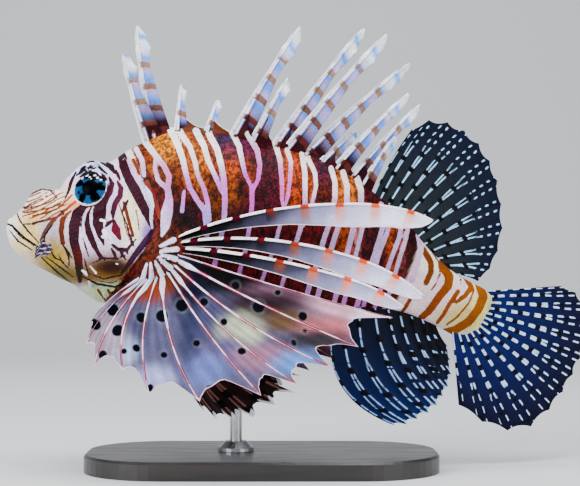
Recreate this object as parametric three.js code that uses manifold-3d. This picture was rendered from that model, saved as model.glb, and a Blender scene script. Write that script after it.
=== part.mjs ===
// A red lionfish, life size, hovering with its head slightly raised and its fins spread,
// on a plain display stand. Millimetres, +Z up, the snout towards -X and the left flank towards -Y.
import * as THREE from 'three';
import { mergeVertices } from 'three/addons/utils/BufferGeometryUtils.js';
import Module from 'manifold-3d';

const wasm = await Module();
wasm.setup();

const GAP = 0.3; // clearance that touching nodes keep
const ROOT_DEPTH = 3; // how deep a fin's root reaches under the skin line before it is trimmed
const V = (x, y, z) => new THREE.Vector3(x, y, z);
const rad = THREE.MathUtils.degToRad;

// Driving sizes of the body, snout to tail base: place along X, height of the midline,
// reach above it, reach below it, half width.
const BODY = [
  [-141, 122.5, 2.5, 3, 2.5],
  [-135, 120.5, 13.5, 11.5, 8],
  [-127.5, 119.5, 20.5, 16.5, 12],
  [-120, 119, 20.8, 20.5, 14.5],
  [-114, 119, 21.2, 24.5, 16],
  [-107.5, 119.5, 27, 29.5, 18],
  [-99, 120, 32, 35.5, 20.5],
  [-87.5, 120.5, 33.5, 38, 23],
  [-75, 121, 41, 42, 25],
  [-62.5, 121, 46.7, 45, 26],
  [-42, 120.5, 48, 47.5, 26.5],
  [-20, 119.5, 44, 47.5, 25],
  [5, 117.5, 39, 44, 22],
  [27.5, 113.5, 31, 37.5, 18],
  [47.5, 107, 21, 29, 14],
  [62.5, 98.5, 13.5, 23, 10.5],
  [75, 89, 12, 17, 7.5],
  [86, 81.5, 13, 15, 6],
  [92, 77.5, 13.5, 14, 5],
  [96, 74.5, 11, 11, 3.5],
  [98, 73, 5, 5, 1.5],
];
const HEIGHT = 1;
const UPPER = 2;
const LOWER = 3;
const WIDTH = 4;
const TAIL_X = BODY.at(-1)[0];
const TAIL_SWING = 16; // how far the tail base is turned away to +Y
const SECTION_SIDES = 28;
const BACK_KEEL = 0.15; // the section narrows towards the back
const BELLY_FULL = 0.1; // and is fuller towards the belly

// Slope of one body size at each station, for a smooth curve through them all.
function slopesOf(column) {
  const rise = (i) => (BODY[i + 1][column] - BODY[i][column]) / (BODY[i + 1][0] - BODY[i][0]);
  return BODY.map((_, i) => {
    if (i === 0) return rise(0);
    if (i === BODY.length - 1) return rise(i - 1);
    const before = BODY[i][0] - BODY[i - 1][0];
    const after = BODY[i + 1][0] - BODY[i][0];
    return (rise(i - 1) * after + rise(i) * before) / (before + after);
  });
}
const SLOPES = BODY[0].map((_, column) => (column ? slopesOf(column) : []));

// One body size at any place along X.
function bodySize(column, x) {
  let i = 0;
  while (i < BODY.length - 2 && x > BODY[i + 1][0]) i++;
  const span = BODY[i + 1][0] - BODY[i][0];
  const t = THREE.MathUtils.clamp((x - BODY[i][0]) / span, 0, 1);
  const t2 = t * t;
  const t3 = t2 * t;
  return (
    (2 * t3 - 3 * t2 + 1) * BODY[i][column] +
    (t3 - 2 * t2 + t) * span * SLOPES[column][i] +
    (3 * t2 - 2 * t3) * BODY[i + 1][column] +
    (t3 - t2) * span * SLOPES[column][i + 1]
  );
}

// Sideways place of the median plane: straight in front, swinging away behind.
function lateral(x) {
  if (x < 0) return 0;
  if (x < TAIL_X) return TAIL_SWING * (x / TAIL_X) ** 2;
  return TAIL_SWING + ((2 * TAIL_SWING) / TAIL_X) * (x - TAIL_X);
}

// Unit vector across the midline, towards the back, in the XZ plane.
function upAt(x) {
  const slope = bodySize(HEIGHT, x + 0.5) - bodySize(HEIGHT, x - 0.5);
  return V(-slope, 0, 1).normalize();
}

// Point on the body at station x; turn 0 is the left flank, 90 the back, 180 the right flank.
function bodyPoint(x, turn, grow = 0) {
  const c = Math.cos(rad(turn));
  const s = Math.sin(rad(turn));
  const power = s > 0 ? 1 + BACK_KEEL * s : 1 + BELLY_FULL * s;
  const side = Math.sign(c) * Math.abs(c) ** power * (bodySize(WIDTH, x) + grow);
  const reach = s * (bodySize(s > 0 ? UPPER : LOWER, x) + grow);
  return V(x, lateral(x) - side, bodySize(HEIGHT, x)).addScaledVector(upAt(x), reach);
}

// The turn of the section at which the left flank of station x has height z.
function turnAt(x, z) {
  const reach = z - bodySize(HEIGHT, x);
  return THREE.MathUtils.radToDeg(Math.asin(reach / bodySize(reach > 0 ? UPPER : LOWER, x)));
}

// Relief of the head, added to its plain section: brow, cheek, nostril swelling, gill cover edge.
const RELIEF = [
  { x: -98, turn: 66, long: 9, round: 13, high: 2.4 },
  { x: -90, turn: -28, long: 13, round: 20, high: 1.8 },
  { x: -122, turn: 48, long: 6, round: 18, high: 1.2 },
  { x: -110, turn: 20, long: 5, round: 16, high: -1 },
];
const EYE = { x: -97.3, z: 139.2, wide: 9.8, deep: 7, proud: 3.4, upwards: 24, forwards: 12 };
const ORBIT = { radius: 11, wide: 2.4, high: 1.1 }; // raised rim round the eye
const LIP = { wide: 1.8, high: 0.9 }; // the two lips, parted by the line of the mouth
const GILL_RAISED = 1.5; // the gill cover's rear edge stands this proud of the trunk
const GILL_BLEND = 9;

// Rear edge of the gill cover in side view, nape to throat.
const GILL_EDGE = [
  [-81, 163], [-74, 147], [-69, 131], [-67.5, 121], [-70.5, 112], [-77, 103], [-84, 94], [-92, 85],
  [-97, 76],
];
const gillCurve = new THREE.SplineCurve(GILL_EDGE.map(([x, z]) => new THREE.Vector2(x, z)));
const gillLine = gillCurve.getPoints(20);

// X of the gill cover's edge at height z.
function gillX(z) {
  const i = gillLine.findIndex((p) => p.y < z);
  if (i < 0) return gillLine.at(-1).x;
  if (i === 0) return gillLine[0].x;
  const [a, b] = [gillLine[i - 1], gillLine[i]];
  return THREE.MathUtils.mapLinear(z, a.y, b.y, a.x, b.x);
}

// Line of the mouth in side view, from the front to its corner, and on down behind the jaw.
const JAW_LINE = [
  [-150, 125.5], [-138, 121.5], [-131, 115.5], [-124, 111], [-120.5, 106], [-120, 98],
];
const MOUTH_CORNER = 4;

// Distance in side view from the line of the mouth.
function mouthDistance(x, z) {
  const here = V(x, 0, z);
  const parts = JAW_LINE.slice(0, MOUTH_CORNER).map(([px, pz]) => V(px, 0, pz));
  return Math.min(
    ...parts.slice(1).map((end, i) => {
      const line = new THREE.Line3(parts[i], end);
      return line.closestPointToPoint(here, true, V(0, 0, 0)).distanceTo(here);
    }),
  );
}

function headRelief(x, turn) {
  const half = turn > 90 && turn < 270 ? 180 - turn : turn > 180 ? turn - 360 : turn;
  let high = 0;
  for (const r of RELIEF) {
    high += r.high * Math.exp(-(((x - r.x) / r.long) ** 2) - ((half - r.turn) / r.round) ** 2);
  }
  const { z } = bodyPoint(x, turn);
  const orbit = Math.hypot(x - EYE.x, z - EYE.z) - ORBIT.radius;
  high += ORBIT.high * Math.exp(-((orbit / ORBIT.wide) ** 2));
  high += LIP.high * Math.exp(-((mouthDistance(x, z) / LIP.wide) ** 2));
  const ahead = gillX(z) - x;
  const edge = ahead > -6 ? Math.exp(-((Math.max(ahead, 0) / GILL_BLEND) ** 2)) : 0;
  return high + GILL_RAISED * edge * Math.abs(Math.cos(rad(half))) ** 0.5;
}

// A closed mesh as a solid that can be joined and cut, faces turned outwards.
function solidOf(geometry) {
  const bare = new THREE.BufferGeometry();
  bare.setAttribute('position', geometry.getAttribute('position'));
  bare.setIndex(geometry.index);
  const merged = mergeVertices(bare, 1e-4);
  const vertProperties = new Float32Array(merged.attributes.position.array);
  const triVerts = new Uint32Array(merged.index.array);
  const made = new wasm.Manifold(new wasm.Mesh({ numProp: 3, vertProperties, triVerts }));
  if (made.volume() > 0) return made;
  for (let i = 0; i < triVerts.length; i += 3) {
    [triVerts[i + 1], triVerts[i + 2]] = [triVerts[i + 2], triVerts[i + 1]];
  }
  return new wasm.Manifold(new wasm.Mesh({ numProp: 3, vertProperties, triVerts }));
}

function geometryOf(solid) {
  const mesh = solid.getMesh();
  const positions = new Float32Array(mesh.numVert * 3);
  for (let i = 0; i < mesh.numVert; i++) {
    for (let k = 0; k < 3; k++) positions[3 * i + k] = mesh.vertProperties[mesh.numProp * i + k];
  }
  const geometry = new THREE.BufferGeometry();
  geometry.setAttribute('position', new THREE.BufferAttribute(positions, 3));
  geometry.setIndex(new THREE.BufferAttribute(new Uint32Array(mesh.triVerts), 1));
  geometry.computeVertexNormals();
  return geometry;
}

const joined = (solids) => solids.reduce((all, one) => all.add(one));

// The largest closed surface of a solid: scraps and sealed hollows go.
function largest(solid) {
  return solid.decompose().reduce((a, b) => (b.volume() > a.volume() ? b : a));
}

// Rings of points, all of one length, skinned into a closed body with a fan at each end.
function skinned(rings) {
  const points = rings.flat();
  const sides = rings[0].length;
  const middle = (ring) => ring.reduce((sum, p) => sum.add(p), V(0, 0, 0)).divideScalar(sides);
  const first = points.push(middle(rings[0])) - 1;
  const last = points.push(middle(rings.at(-1))) - 1;
  const faces = [];
  const end = (rings.length - 1) * sides;
  for (let j = 0; j < sides; j++) {
    const k = (j + 1) % sides;
    faces.push(first, k, j, last, end + j, end + k);
    for (let i = 0; i < end; i += sides) {
      faces.push(i + j, i + k, i + sides + k, i + j, i + sides + k, i + sides + j);
    }
  }
  const geometry = new THREE.BufferGeometry().setFromPoints(points);
  geometry.setIndex(faces);
  return solidOf(geometry);
}

// Places from one station to another in even steps.
function steps(from, to, step) {
  const count = Math.ceil((to - from) / step);
  return Array.from({ length: count + 1 }, (_, i) => from + ((to - from) * i) / count);
}

// The body through a row of stations, grown all round by a clearance, and at its rear end too.
const REAR = 92;
function bodyLoft({ stations, grow = 0, relief = () => 0 }) {
  return skinned(
    stations.map((x) => {
      const back = grow * THREE.MathUtils.clamp((x - REAR) / (TAIL_X - REAR), 0, 1);
      return Array.from({ length: SECTION_SIDES }, (_, j) => {
        const turn = (360 * j) / SECTION_SIDES;
        return bodyPoint(x, turn, grow + relief(x, turn)).add(V(back, 0, 0));
      });
    }),
  );
}

// A side-view outline as a slab right through the body.
const SLAB = 200;
function slab(outline) {
  const shape = new THREE.Shape(outline.map(([x, z]) => new THREE.Vector2(x, z)));
  const geometry = new THREE.ExtrudeGeometry(shape, { depth: SLAB, bevelEnabled: false });
  geometry.translate(0, 0, -SLAB / 2);
  geometry.rotateX(Math.PI / 2);
  return solidOf(geometry);
}

// Side-view regions of the head, the lower jaw and the tail stalk, shifted back by a gap.
const FAR = 260;
function headRegion(shift = 0) {
  const edge = gillLine.map((p) => [p.x + shift, p.y]);
  return slab([[-FAR, FAR], [edge[0][0], FAR], ...edge, [edge.at(-1)[0], 0], [-FAR, 0]]);
}
function jawRegion(shift = 0) {
  const edge = JAW_LINE.map(([x, z]) => [x + shift, z + shift]);
  return slab([...edge, [edge.at(-1)[0], 0], [edge[0][0], 0]]);
}
const STALK_CUT = [[90, 96.5], [74.5, 68]];
function stalkRegion(shift = 0) {
  const [top, foot] = STALK_CUT.map(([x, z]) => [x - shift, z]);
  return slab([[top[0] + 8, top[1] + 15], [FAR, top[1] + 15], [FAR, 0], [foot[0] - 8, foot[1] - 15]]);
}

// A spine or free ray: a round shaft that tapers, with a thin web along its rear edge and,
// by the share called lead, along its front. path gives the shaft's middle and vane the web's
// width, both along 0 to 1.
const SHAFT_STEPS = 7;
const WEB_HALF = 0.32;
function vaned({ path, behind, thick, vane, lead = 0, steps = SHAFT_STEPS }) {
  const rings = [];
  for (let i = 0; i <= steps; i++) {
    const t = i / steps;
    const at = path(t);
    const along = path(Math.min(1, t + 0.02)).sub(path(Math.max(0, t - 0.02))).normalize();
    const out = behind.clone().addScaledVector(along, -behind.dot(along)).normalize();
    const side = V(0, 0, 0).crossVectors(along, out);
    const r = thick * (1 - 0.72 * t);
    const w = r + 0.3 + vane(t);
    const half = Math.min(WEB_HALF, r * 0.8);
    const front = r + lead * vane(t);
    const place = (o, n) => at.clone().addScaledVector(out, o).addScaledVector(side, n);
    rings.push([
      place(-front, 0), place(-0.1 * r, r), place(0.9 * r, half), place(w, half),
      place(w, -half), place(0.9 * r, -half), place(-0.1 * r, -r),
    ]);
  }
  return skinned(rings);
}

// A soft fin: rays that fan out, with a web between them whose edge dips between the tips.
// Each ray is { root, bend, tip }, a quadratic curve. Ridges rise on the rays.
const RIDGE_HALF = 0.62;
const FIN_HALF = 0.3;
function softFin({ rays, dip = 0.035, rows = 5, ridged = false, wave = () => 0 }) {
  const curves = rays.map((r) => new THREE.QuadraticBezierCurve3(r.root, r.bend, r.tip));
  const columns = [];
  curves.forEach((curve, i) => {
    columns.push({ i, f: 0 });
    if (i === curves.length - 1) return;
    const between = ridged ? [0.18, 0.5, 0.82] : [0.5];
    columns.push(...between.map((f) => ({ i, f })));
  });
  const at = ({ i, f }, t) => {
    const reach = t * (1 - 4 * dip * f * (1 - f));
    const here = curves[i].getPoint(reach);
    return f ? here.lerp(curves[i + 1].getPoint(reach), f) : here;
  };
  const grid = columns.map((c) => Array.from({ length: rows + 1 }, (_, k) => at(c, k / rows)));
  const last = columns.length - 1;
  const faceNormal = (c, k) => {
    const across = grid[Math.min(c + 1, last)][k].clone().sub(grid[Math.max(c - 1, 0)][k]);
    const along = grid[c][Math.min(k + 1, rows)].clone().sub(grid[c][Math.max(k - 1, 0)]);
    return across.cross(along).normalize();
  };
  const points = [];
  for (const side of [1, -1]) {
    columns.forEach(({ i, f }, c) => {
      for (let k = 0; k <= rows; k++) {
        const t = k / rows;
        const half = (ridged && !f ? RIDGE_HALF : FIN_HALF) * (1 - 0.35 * t);
        const lift = wave(i + f, t) + side * half;
        points.push(grid[c][k].clone().addScaledVector(faceNormal(c, k), lift));
      }
    });
  }
  const sheet = (last + 1) * (rows + 1);
  const id = (c, k, back) => c * (rows + 1) + k + (back ? sheet : 0);
  const faces = [];
  const quad = (a, b, c, d) => faces.push(a, b, c, a, c, d);
  for (let c = 0; c < last; c++) {
    for (let k = 0; k < rows; k++) {
      faces.push(id(c, k), id(c + 1, k), id(c + 1, k + 1), id(c, k), id(c + 1, k + 1), id(c, k + 1));
      faces.push(
        id(c, k, 1), id(c + 1, k + 1, 1), id(c + 1, k, 1),
        id(c, k, 1), id(c, k + 1, 1), id(c + 1, k + 1, 1),
      );
    }
    quad(id(c, 0), id(c, 0, 1), id(c + 1, 0, 1), id(c + 1, 0));
    quad(id(c, rows), id(c + 1, rows), id(c + 1, rows, 1), id(c, rows, 1));
  }
  for (let k = 0; k < rows; k++) {
    quad(id(0, k), id(0, k + 1), id(0, k + 1, 1), id(0, k, 1));
    quad(id(last, k), id(last, k, 1), id(last, k + 1, 1), id(last, k + 1));
  }
  const geometry = new THREE.BufferGeometry().setFromPoints(points);
  geometry.setIndex(faces);
  return solidOf(geometry);
}

// A direction in side view, in degrees above straight back.
const heading = (angle) => V(Math.cos(rad(angle)), 0, Math.sin(rad(angle)));

// A ray in side view from its root: length, heading, sideways reach of its tip, and bow,
// how far the curve's handle stands off the straight line, to the left of the way it points.
function ray(root, length, angle, aside, bow, outward = 0) {
  const tip = root.clone().addScaledVector(heading(angle), length);
  tip.y += aside;
  const bend = root.clone().lerp(tip, 0.5).addScaledVector(heading(angle + 90), bow);
  bend.y += outward;
  return { root, bend, tip };
}

// A ray of a median fin, which follows the swing of the body.
function medianRay(x, length, angle, bow, edge) {
  const turn = edge > 0 ? 90 : 270;
  const root = bodyPoint(x, turn).addScaledVector(upAt(x), -edge * ROOT_DEPTH);
  const made = ray(root, length + ROOT_DEPTH, angle, 0, bow);
  for (const p of [made.bend, made.tip]) p.y = lateral(p.x);
  return made;
}

// Dorsal spines, front to back: station, length, heading, lean to the side in degrees, web width.
const DORSAL_SPINES = [
  [-70.5, 44, 106, -10, 5.5],
  [-67.5, 57.5, 100, 9, 6],
  [-56.5, 24, 88, 22, 3],
  [-42.5, 17, 75, 26, 3],
  [-29.5, 63, 59, -8, 5.6],
  [-20.5, 35, 61, -20, 4],
  [-9.5, 75, 54, 9, 4.8],
  [-4, 75, 49.5, -7, 5],
  [3.5, 70, 42, 8, 4.6],
  [11.5, 23, 45, 22, 4],
  [17.5, 51, 46.5, -9, 3.8],
  [24.5, 50, 47.5, 6, 3.6],
  [29.5, 29, 57, 2, 3.2],
];
const SPINE_RADIUS = 1.35;
const SPINE_LEAD = 0.32; // share of the web's width that stands in front of the shaft
const SPINE_SWEEP = 0.07; // the tips sweep back by this share of the length
const WEB_RISE = 13; // height of the web behind a tall spine
const WEB_SHARE = 0.38; // and behind a short one, of its length
const WEB_LOW = 2;
const WEB_STEPS = [0, 0.4];
const SHORT_SPINE = 40; // shorter spines are made with fewer steps
const SHORT_STEPS = 4;

function spineWay([, , angle, lean]) {
  const way = heading(angle).multiplyScalar(Math.cos(rad(lean)));
  way.y = Math.sin(rad(lean));
  return way;
}

function dorsalSpine(numbers) {
  const [x, length, angle, lean, web] = numbers;
  const way = spineWay(numbers);
  const root = bodyPoint(x, 90).addScaledVector(way, -ROOT_DEPTH);
  root.y -= way.y;
  const reach = length / Math.cos(rad(lean)) + ROOT_DEPTH;
  const behind = heading(angle - 90);
  const sweep = length * SPINE_SWEEP;
  const path = (t) =>
    root.clone().addScaledVector(way, reach * t).addScaledVector(behind, sweep * (t * t - t));
  // widest low down and again just short of the tip, pinched between
  const vane = (t) => web * (1 - t) ** 0.25 * (0.75 + 0.4 * Math.cos(2 * Math.PI * (t - 0.8)));
  const steps = length < SHORT_SPINE ? SHORT_STEPS : SHAFT_STEPS;
  return vaned({ path, behind, thick: SPINE_RADIUS, vane, lead: SPINE_LEAD, steps });
}

function dorsalWeb() {
  const low = [];
  const high = [];
  for (let i = 0; i < DORSAL_SPINES.length - 1; i++) {
    const [spine, next] = [DORSAL_SPINES[i], DORSAL_SPINES[i + 1]];
    for (const f of i < DORSAL_SPINES.length - 2 ? WEB_STEPS : [...WEB_STEPS, 1]) {
      const x = THREE.MathUtils.lerp(spine[0], next[0], f);
      const rise = WEB_LOW + Math.min(WEB_RISE, spine[1] * WEB_SHARE) * (1 - f) ** 3;
      const way = spineWay(spine).lerp(spineWay(next), f).normalize();
      low.push(bodyPoint(x, 90).addScaledVector(way, -ROOT_DEPTH));
      high.push(bodyPoint(x, 90).addScaledVector(way, rise));
    }
  }
  const half = V(0, 0.45, 0);
  return skinned(
    low.map((p, i) => [
      p.clone().add(half), high[i].clone().add(half),
      high[i].clone().sub(half), p.clone().sub(half),
    ]),
  );
}

// Soft dorsal rays: station, length, heading.
const SOFT_DORSAL = [
  [34.5, 37, 60], [37.5, 46.5, 58.5], [41, 51.5, 54.5], [44.5, 54, 50], [48.2, 54.5, 45.5],
  [52, 53, 40.5], [55.6, 50, 35], [59, 45, 27.5], [62.2, 39.5, 18], [65.5, 32, 8], [69, 24, -2],
  [74, 13.5, -12],
];
// Anal rays: station, length, and how far the front ones bow.
const ANAL = [
  [32, 63, -31], [38.5, 64, -27], [46, 62.5, -21], [54, 59, -15], [60.5, 54, -11],
  [66, 48, -9], [70.5, 41, -7], [74.5, 32, -5], [77.5, 22, -3], [80, 12.5, -2],
];
const ANAL_HEADING = -64;
// Caudal rays: length and heading; their roots stand evenly round the tail base.
const CAUDAL = [
  [33, 3], [42.5, 2], [50, -3], [53.5, -9], [55, -16], [55.5, -23], [56, -30], [56.5, -38],
  [57, -47], [57, -57], [51.5, -66], [41, -75], [28, -85],
];

function caudalRay([length, angle], i) {
  const share = i / (CAUDAL.length - 1);
  const along = V(-upAt(TAIL_X - 4).z, 0, upAt(TAIL_X - 4).x).multiplyScalar(-1);
  const across = THREE.MathUtils.lerp(11.5, -12.5, share);
  const inset = 3.5 + 7 * (2 * share - 1) ** 2;
  const root = V(TAIL_X, 0, BODY.at(-1)[HEIGHT])
    .addScaledVector(upAt(TAIL_X - 4), across)
    .addScaledVector(along, -inset);
  const made = ray(root, length + inset, angle, 0, 0);
  for (const p of [made.root, made.bend, made.tip]) p.y = lateral(p.x);
  return made;
}

// Pectoral rays, top to bottom: root along X and Z, length in side view, heading, reach outwards, bow.
const PECTORAL = [
  [-56.5, 114.5, 124.5, 6, 27, 18],
  [-55.5, 112.5, 120.5, -10, 31, 20],
  [-55, 110, 110.5, -12, 33, 9],
  [-55, 107.6, 107, -16, 35, -2],
  [-55.5, 105.2, 96.5, -25, 37, -3],
  [-56.5, 102.8, 89, -32, 39, -8],
  [-58, 100.8, 82, -41, 39, -8],
  [-59.5, 99, 73.5, -51, 39, -4],
  [-62, 97, 61, -71, 37, -9],
  [-64.2, 95.5, 54, -91.5, 33, -10],
  [-67.2, 94.5, 43, -104.5, 29, -12],
  [-69.6, 94, 45.5, -120.5, 25, -8],
  [-72, 94, 38, -130.5, 21, -7],
  [-74, 94.5, 29, -135, 17, -5],
];
const FREE_RAYS = 3; // the upper rays stand free, each with its own vane
const VANE_WIDE = 8.5;
const PECTORAL_OUT = 25; // roots lie this far out from the median plane
const PECTORAL_BELLY = 8; // the fan bulges outwards between root and tip
const FAN_WAVE = 1;
const FREE_RADIUS = 1.3;
const LOBE = { x: -61.5, z: 104, out: 23, long: 8.5, wide: 5, high: 12.5, slant: 18 };

// side is -1 for the left fin and 1 for the right; droop lowers the rays of one fin.
function pectoralRay([x, z, length, angle, out, bow], side, droop) {
  const root = V(x, side * PECTORAL_OUT, z);
  return ray(root, length, angle - droop, side * out, bow, side * PECTORAL_BELLY);
}

function pectoralFin(side, droop = 0, ridged = false) {
  const rays = PECTORAL.map((r) => pectoralRay(r, side, droop));
  const lobe = new THREE.SphereGeometry(1, 12, 8);
  lobe.scale(LOBE.long, LOBE.wide, LOBE.high);
  lobe.rotateY(rad(LOBE.slant));
  lobe.translate(LOBE.x, side * LOBE.out, LOBE.z);
  const free = rays.slice(0, FREE_RAYS).map((r, i) => {
    const curve = new THREE.QuadraticBezierCurve3(r.root, r.bend, r.tip);
    const behind = V(0, side * 0.25, -1);
    // the vane widens steadily, then runs out in a curved tip
    const vane = (t) => (VANE_WIDE - 1.5 * i) * Math.min(1, 1.4 * t) * (1 - t ** 5) ** 0.8;
    return vaned({ path: (t) => curve.getPoint(t), behind, thick: FREE_RADIUS, vane, steps: 10 });
  });
  const wave = (i, t) => FAN_WAVE * t * Math.sin(2.1 * i);
  const fan = softFin({ rays: rays.slice(FREE_RAYS), dip: 0.13, rows: 5, ridged, wave });
  return joined([solidOf(lobe), ...free, fan]);
}

// Pelvic rays, outer to inner: root along X and Z, length, heading, reach outwards.
const PELVIC = [
  [-68.5, 78, 56, -61, 19], [-67.5, 77, 61, -58, 21], [-66, 76, 65, -52, 21],
  [-64.5, 75.5, 67.5, -46, 19], [-63, 75, 70, -37, 16], [-61.5, 75, 74, -30, 12],
];
const PELVIC_OUT = 9;
const PELVIC_BOW = -5;

function pelvicFin(side, sweep = 0, ridged = false) {
  const rays = PELVIC.map(([x, z, length, angle, out], i) => {
    const root = V(x, side * (PELVIC_OUT + 0.8 * i), z + 2);
    return ray(root, length, angle + sweep, side * out, PELVIC_BOW);
  });
  return softFin({ rays, dip: 0.09, rows: 5, ridged });
}

// Eyes: flattened globes set in the head so that they stand a little proud of it.
const eyeOut = -bodyPoint(EYE.x, turnAt(EYE.x, EYE.z)).y;
function eyeball(side, grow = 0) {
  const globe = new THREE.SphereGeometry(1, 16, 10);
  globe.scale(EYE.wide + grow, EYE.deep + grow, EYE.wide + grow);
  globe.rotateX(side * rad(EYE.upwards));
  globe.rotateZ(side * rad(EYE.forwards));
  const sunk = EYE.deep - EYE.proud;
  const lift = Math.sin(rad(EYE.upwards));
  globe.translate(EYE.x, side * (eyeOut - sunk * Math.sqrt(1 - lift ** 2)), EYE.z - sunk * lift);
  return solidOf(globe);
}

// Skin flaps and head spines, each rooted on the head: place in side view, length, heading,
// outward lean, radius at the root and web width.
const FLAPS = [
  { x: -121.2, z: 134, length: 5, angle: 95, lean: 12, thick: 0.9, web: 0.8 },
  { x: -121.5, z: 113, length: 8.5, angle: -120, lean: 24, thick: 1.5, web: 2.2 },
  { x: -98.5, z: 93.5, length: 8, angle: -78, lean: 30, thick: 1.4, web: 2 },
  { x: -92, z: 88.5, length: 6, angle: -70, lean: 32, thick: 1.2, web: 1.6 },
  { x: -95, z: 148.5, length: 6, angle: 96, lean: 26, thick: 1.2, web: 1.2 },
  { x: -91, z: 116, length: 3.5, angle: -25, lean: 46, thick: 1.3, web: 0.2 },
  { x: -86, z: 104, length: 3.5, angle: -35, lean: 42, thick: 1.2, web: 0.2 },
  { x: -101, z: 99, length: 3.5, angle: -50, lean: 44, thick: 1.2, web: 0.2 },
  { x: -82.5, z: 152, length: 3.5, angle: 70, lean: 25, thick: 1.1, web: 0.4 },
];
const FLAP_DEPTH = 2;

function flap({ x, z, length, angle, lean, thick, web }, side) {
  const on = bodyPoint(x, turnAt(x, z));
  const way = heading(angle).multiplyScalar(Math.cos(rad(lean)));
  way.y = side * Math.sin(rad(lean));
  const root = V(x, side * -on.y, z).addScaledVector(way, -FLAP_DEPTH);
  const path = (t) => root.clone().addScaledVector(way, (length + FLAP_DEPTH) * t);
  const vane = (t) => web * Math.sin(Math.PI * Math.min(1, 0.25 + 0.7 * t));
  return vaned({ path, behind: heading(angle + 90), thick, vane, steps: 3 });
}

const NOSTRIL = { x: -116.5, z: 133, radius: 0.9 };
function nostril(side) {
  const hole = new THREE.SphereGeometry(NOSTRIL.radius, 8, 6);
  const on = bodyPoint(NOSTRIL.x, turnAt(NOSTRIL.x, NOSTRIL.z));
  hole.translate(NOSTRIL.x, side * -on.y, NOSTRIL.z);
  return solidOf(hole);
}

// The stand: a flat base with rounded ends and one rod up to the belly.
const BASE = { x: -14, long: 176, wide: 96, high: 9, corner: 40 };
const ROD = { x: -27, radius: 3 };
const COLLAR = { radius: 9, high: 5 };

function standBase() {
  const [l, w, r] = [BASE.long / 2, BASE.wide / 2, BASE.corner];
  const shape = new THREE.Shape();
  shape.moveTo(-l + r, -w);
  shape.lineTo(l - r, -w);
  shape.absarc(l - r, -w + r, r, -Math.PI / 2, 0);
  shape.absarc(l - r, w - r, r, 0, Math.PI / 2);
  shape.absarc(-l + r, w - r, r, Math.PI / 2, Math.PI);
  shape.absarc(-l + r, -w + r, r, Math.PI, 1.5 * Math.PI);
  const bevel = 1.2;
  const geometry = new THREE.ExtrudeGeometry(shape, {
    depth: BASE.high - bevel,
    bevelThickness: bevel,
    bevelSize: bevel,
    bevelOffset: -bevel,
    bevelSegments: 1,
    curveSegments: 6,
  });
  geometry.translate(BASE.x, 0, 0);
  return solidOf(geometry).trimByPlane([0, 0, 1], 0);
}

function standRod() {
  const top = BODY[0][HEIGHT] - 30;
  const rod = new THREE.CylinderGeometry(ROD.radius, ROD.radius, top, 20);
  rod.rotateX(Math.PI / 2);
  rod.translate(ROD.x, 0, BASE.high + GAP + top / 2);
  return solidOf(rod);
}

function standCollar() {
  const [inner, low] = [ROD.radius + GAP, BASE.high + GAP];
  const profile = [
    [inner, 0], [COLLAR.radius, 0], [COLLAR.radius, 1.8], [inner + 2, COLLAR.high],
    [inner, COLLAR.high], [inner, 0],
  ];
  const ring = new THREE.LatheGeometry(profile.map(([r, z]) => new THREE.Vector2(r, z)), 24);
  ring.rotateX(Math.PI / 2);
  ring.translate(ROD.x, 0, low);
  return solidOf(ring);
}

// The nodes.
const RIDGED = true;
const RIGHT_DROOP = 9; // the right pectoral fin hangs a little lower than the left
const SIDES = { left: -1, right: 1 };
const both = Object.values(SIDES);

const SNOUT_END = -119;
const headStations = [...steps(BODY[0][0], SNOUT_END, 2).slice(0, -1), ...steps(SNOUT_END, -58, 3.6)];
const headLoft = (grow) => bodyLoft({ stations: headStations, grow, relief: headRelief });
const trunkStations = [...steps(-100, 84, 6.5), 88, 91.5, 94.5, 96.5, TAIL_X];
const trunkLoft = (grow) => bodyLoft({ stations: trunkStations, grow });
const gillCleared = headRegion(0);
const bodyKeepOut = joined([headLoft(GAP).intersect(headRegion(GAP)), trunkLoft(GAP)]);

const jawWhole = headLoft(0).intersect(jawRegion());
const flaps = both.flatMap((side) => FLAPS.map((f) => flap(f, side)));
const headWhole = joined([headLoft(0).intersect(gillCleared).subtract(jawRegion(GAP)), ...flaps])
  .subtract(headLoft(GAP).intersect(jawRegion(GAP)))
  .subtract(joined(both.map((side) => eyeball(side, GAP))))
  .subtract(joined(both.map((side) => nostril(side))));
const trunkWhole = trunkLoft(0).subtract(headRegion(GAP * 1.5));
const headKeepOut = headLoft(GAP).intersect(headRegion(0));

const rooted = (solid) => largest(solid.subtract(bodyKeepOut));
const spinyDorsal = rooted(joined([dorsalWeb(), ...DORSAL_SPINES.map(dorsalSpine)]));
const softDorsal = softFin({
  rays: SOFT_DORSAL.map(([x, length, angle]) => medianRay(x, length, angle, 2.5, 1)),
  ridged: RIDGED,
});
const analFin = softFin({
  rays: ANAL.map(([x, length, bow]) => medianRay(x, length, ANAL_HEADING, bow, -1)),
  ridged: RIDGED,
});
const caudalFin = softFin({ rays: CAUDAL.map(caudalRay), rows: 4, ridged: RIDGED });

const COLOURS = {
  skin: { color: 0x8a3526, roughness: 0.5, metalness: 0 },
  fin: { color: 0xb9bfd8, roughness: 0.45, metalness: 0 },
  darkFin: { color: 0x1b2a55, roughness: 0.45, metalness: 0 },
  eye: { color: 0x16324f, roughness: 0.12, metalness: 0 },
  stand: { color: 0x1c1a19, roughness: 0.4, metalness: 0 },
  rod: { color: 0xb8bcc2, roughness: 0.25, metalness: 1 },
};

const fish = new THREE.Group();
function node(name, solid, look) {
  const mesh = new THREE.Mesh(geometryOf(largest(solid)), new THREE.MeshStandardMaterial(COLOURS[look]));
  mesh.name = name;
  fish.add(mesh);
}

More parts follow.
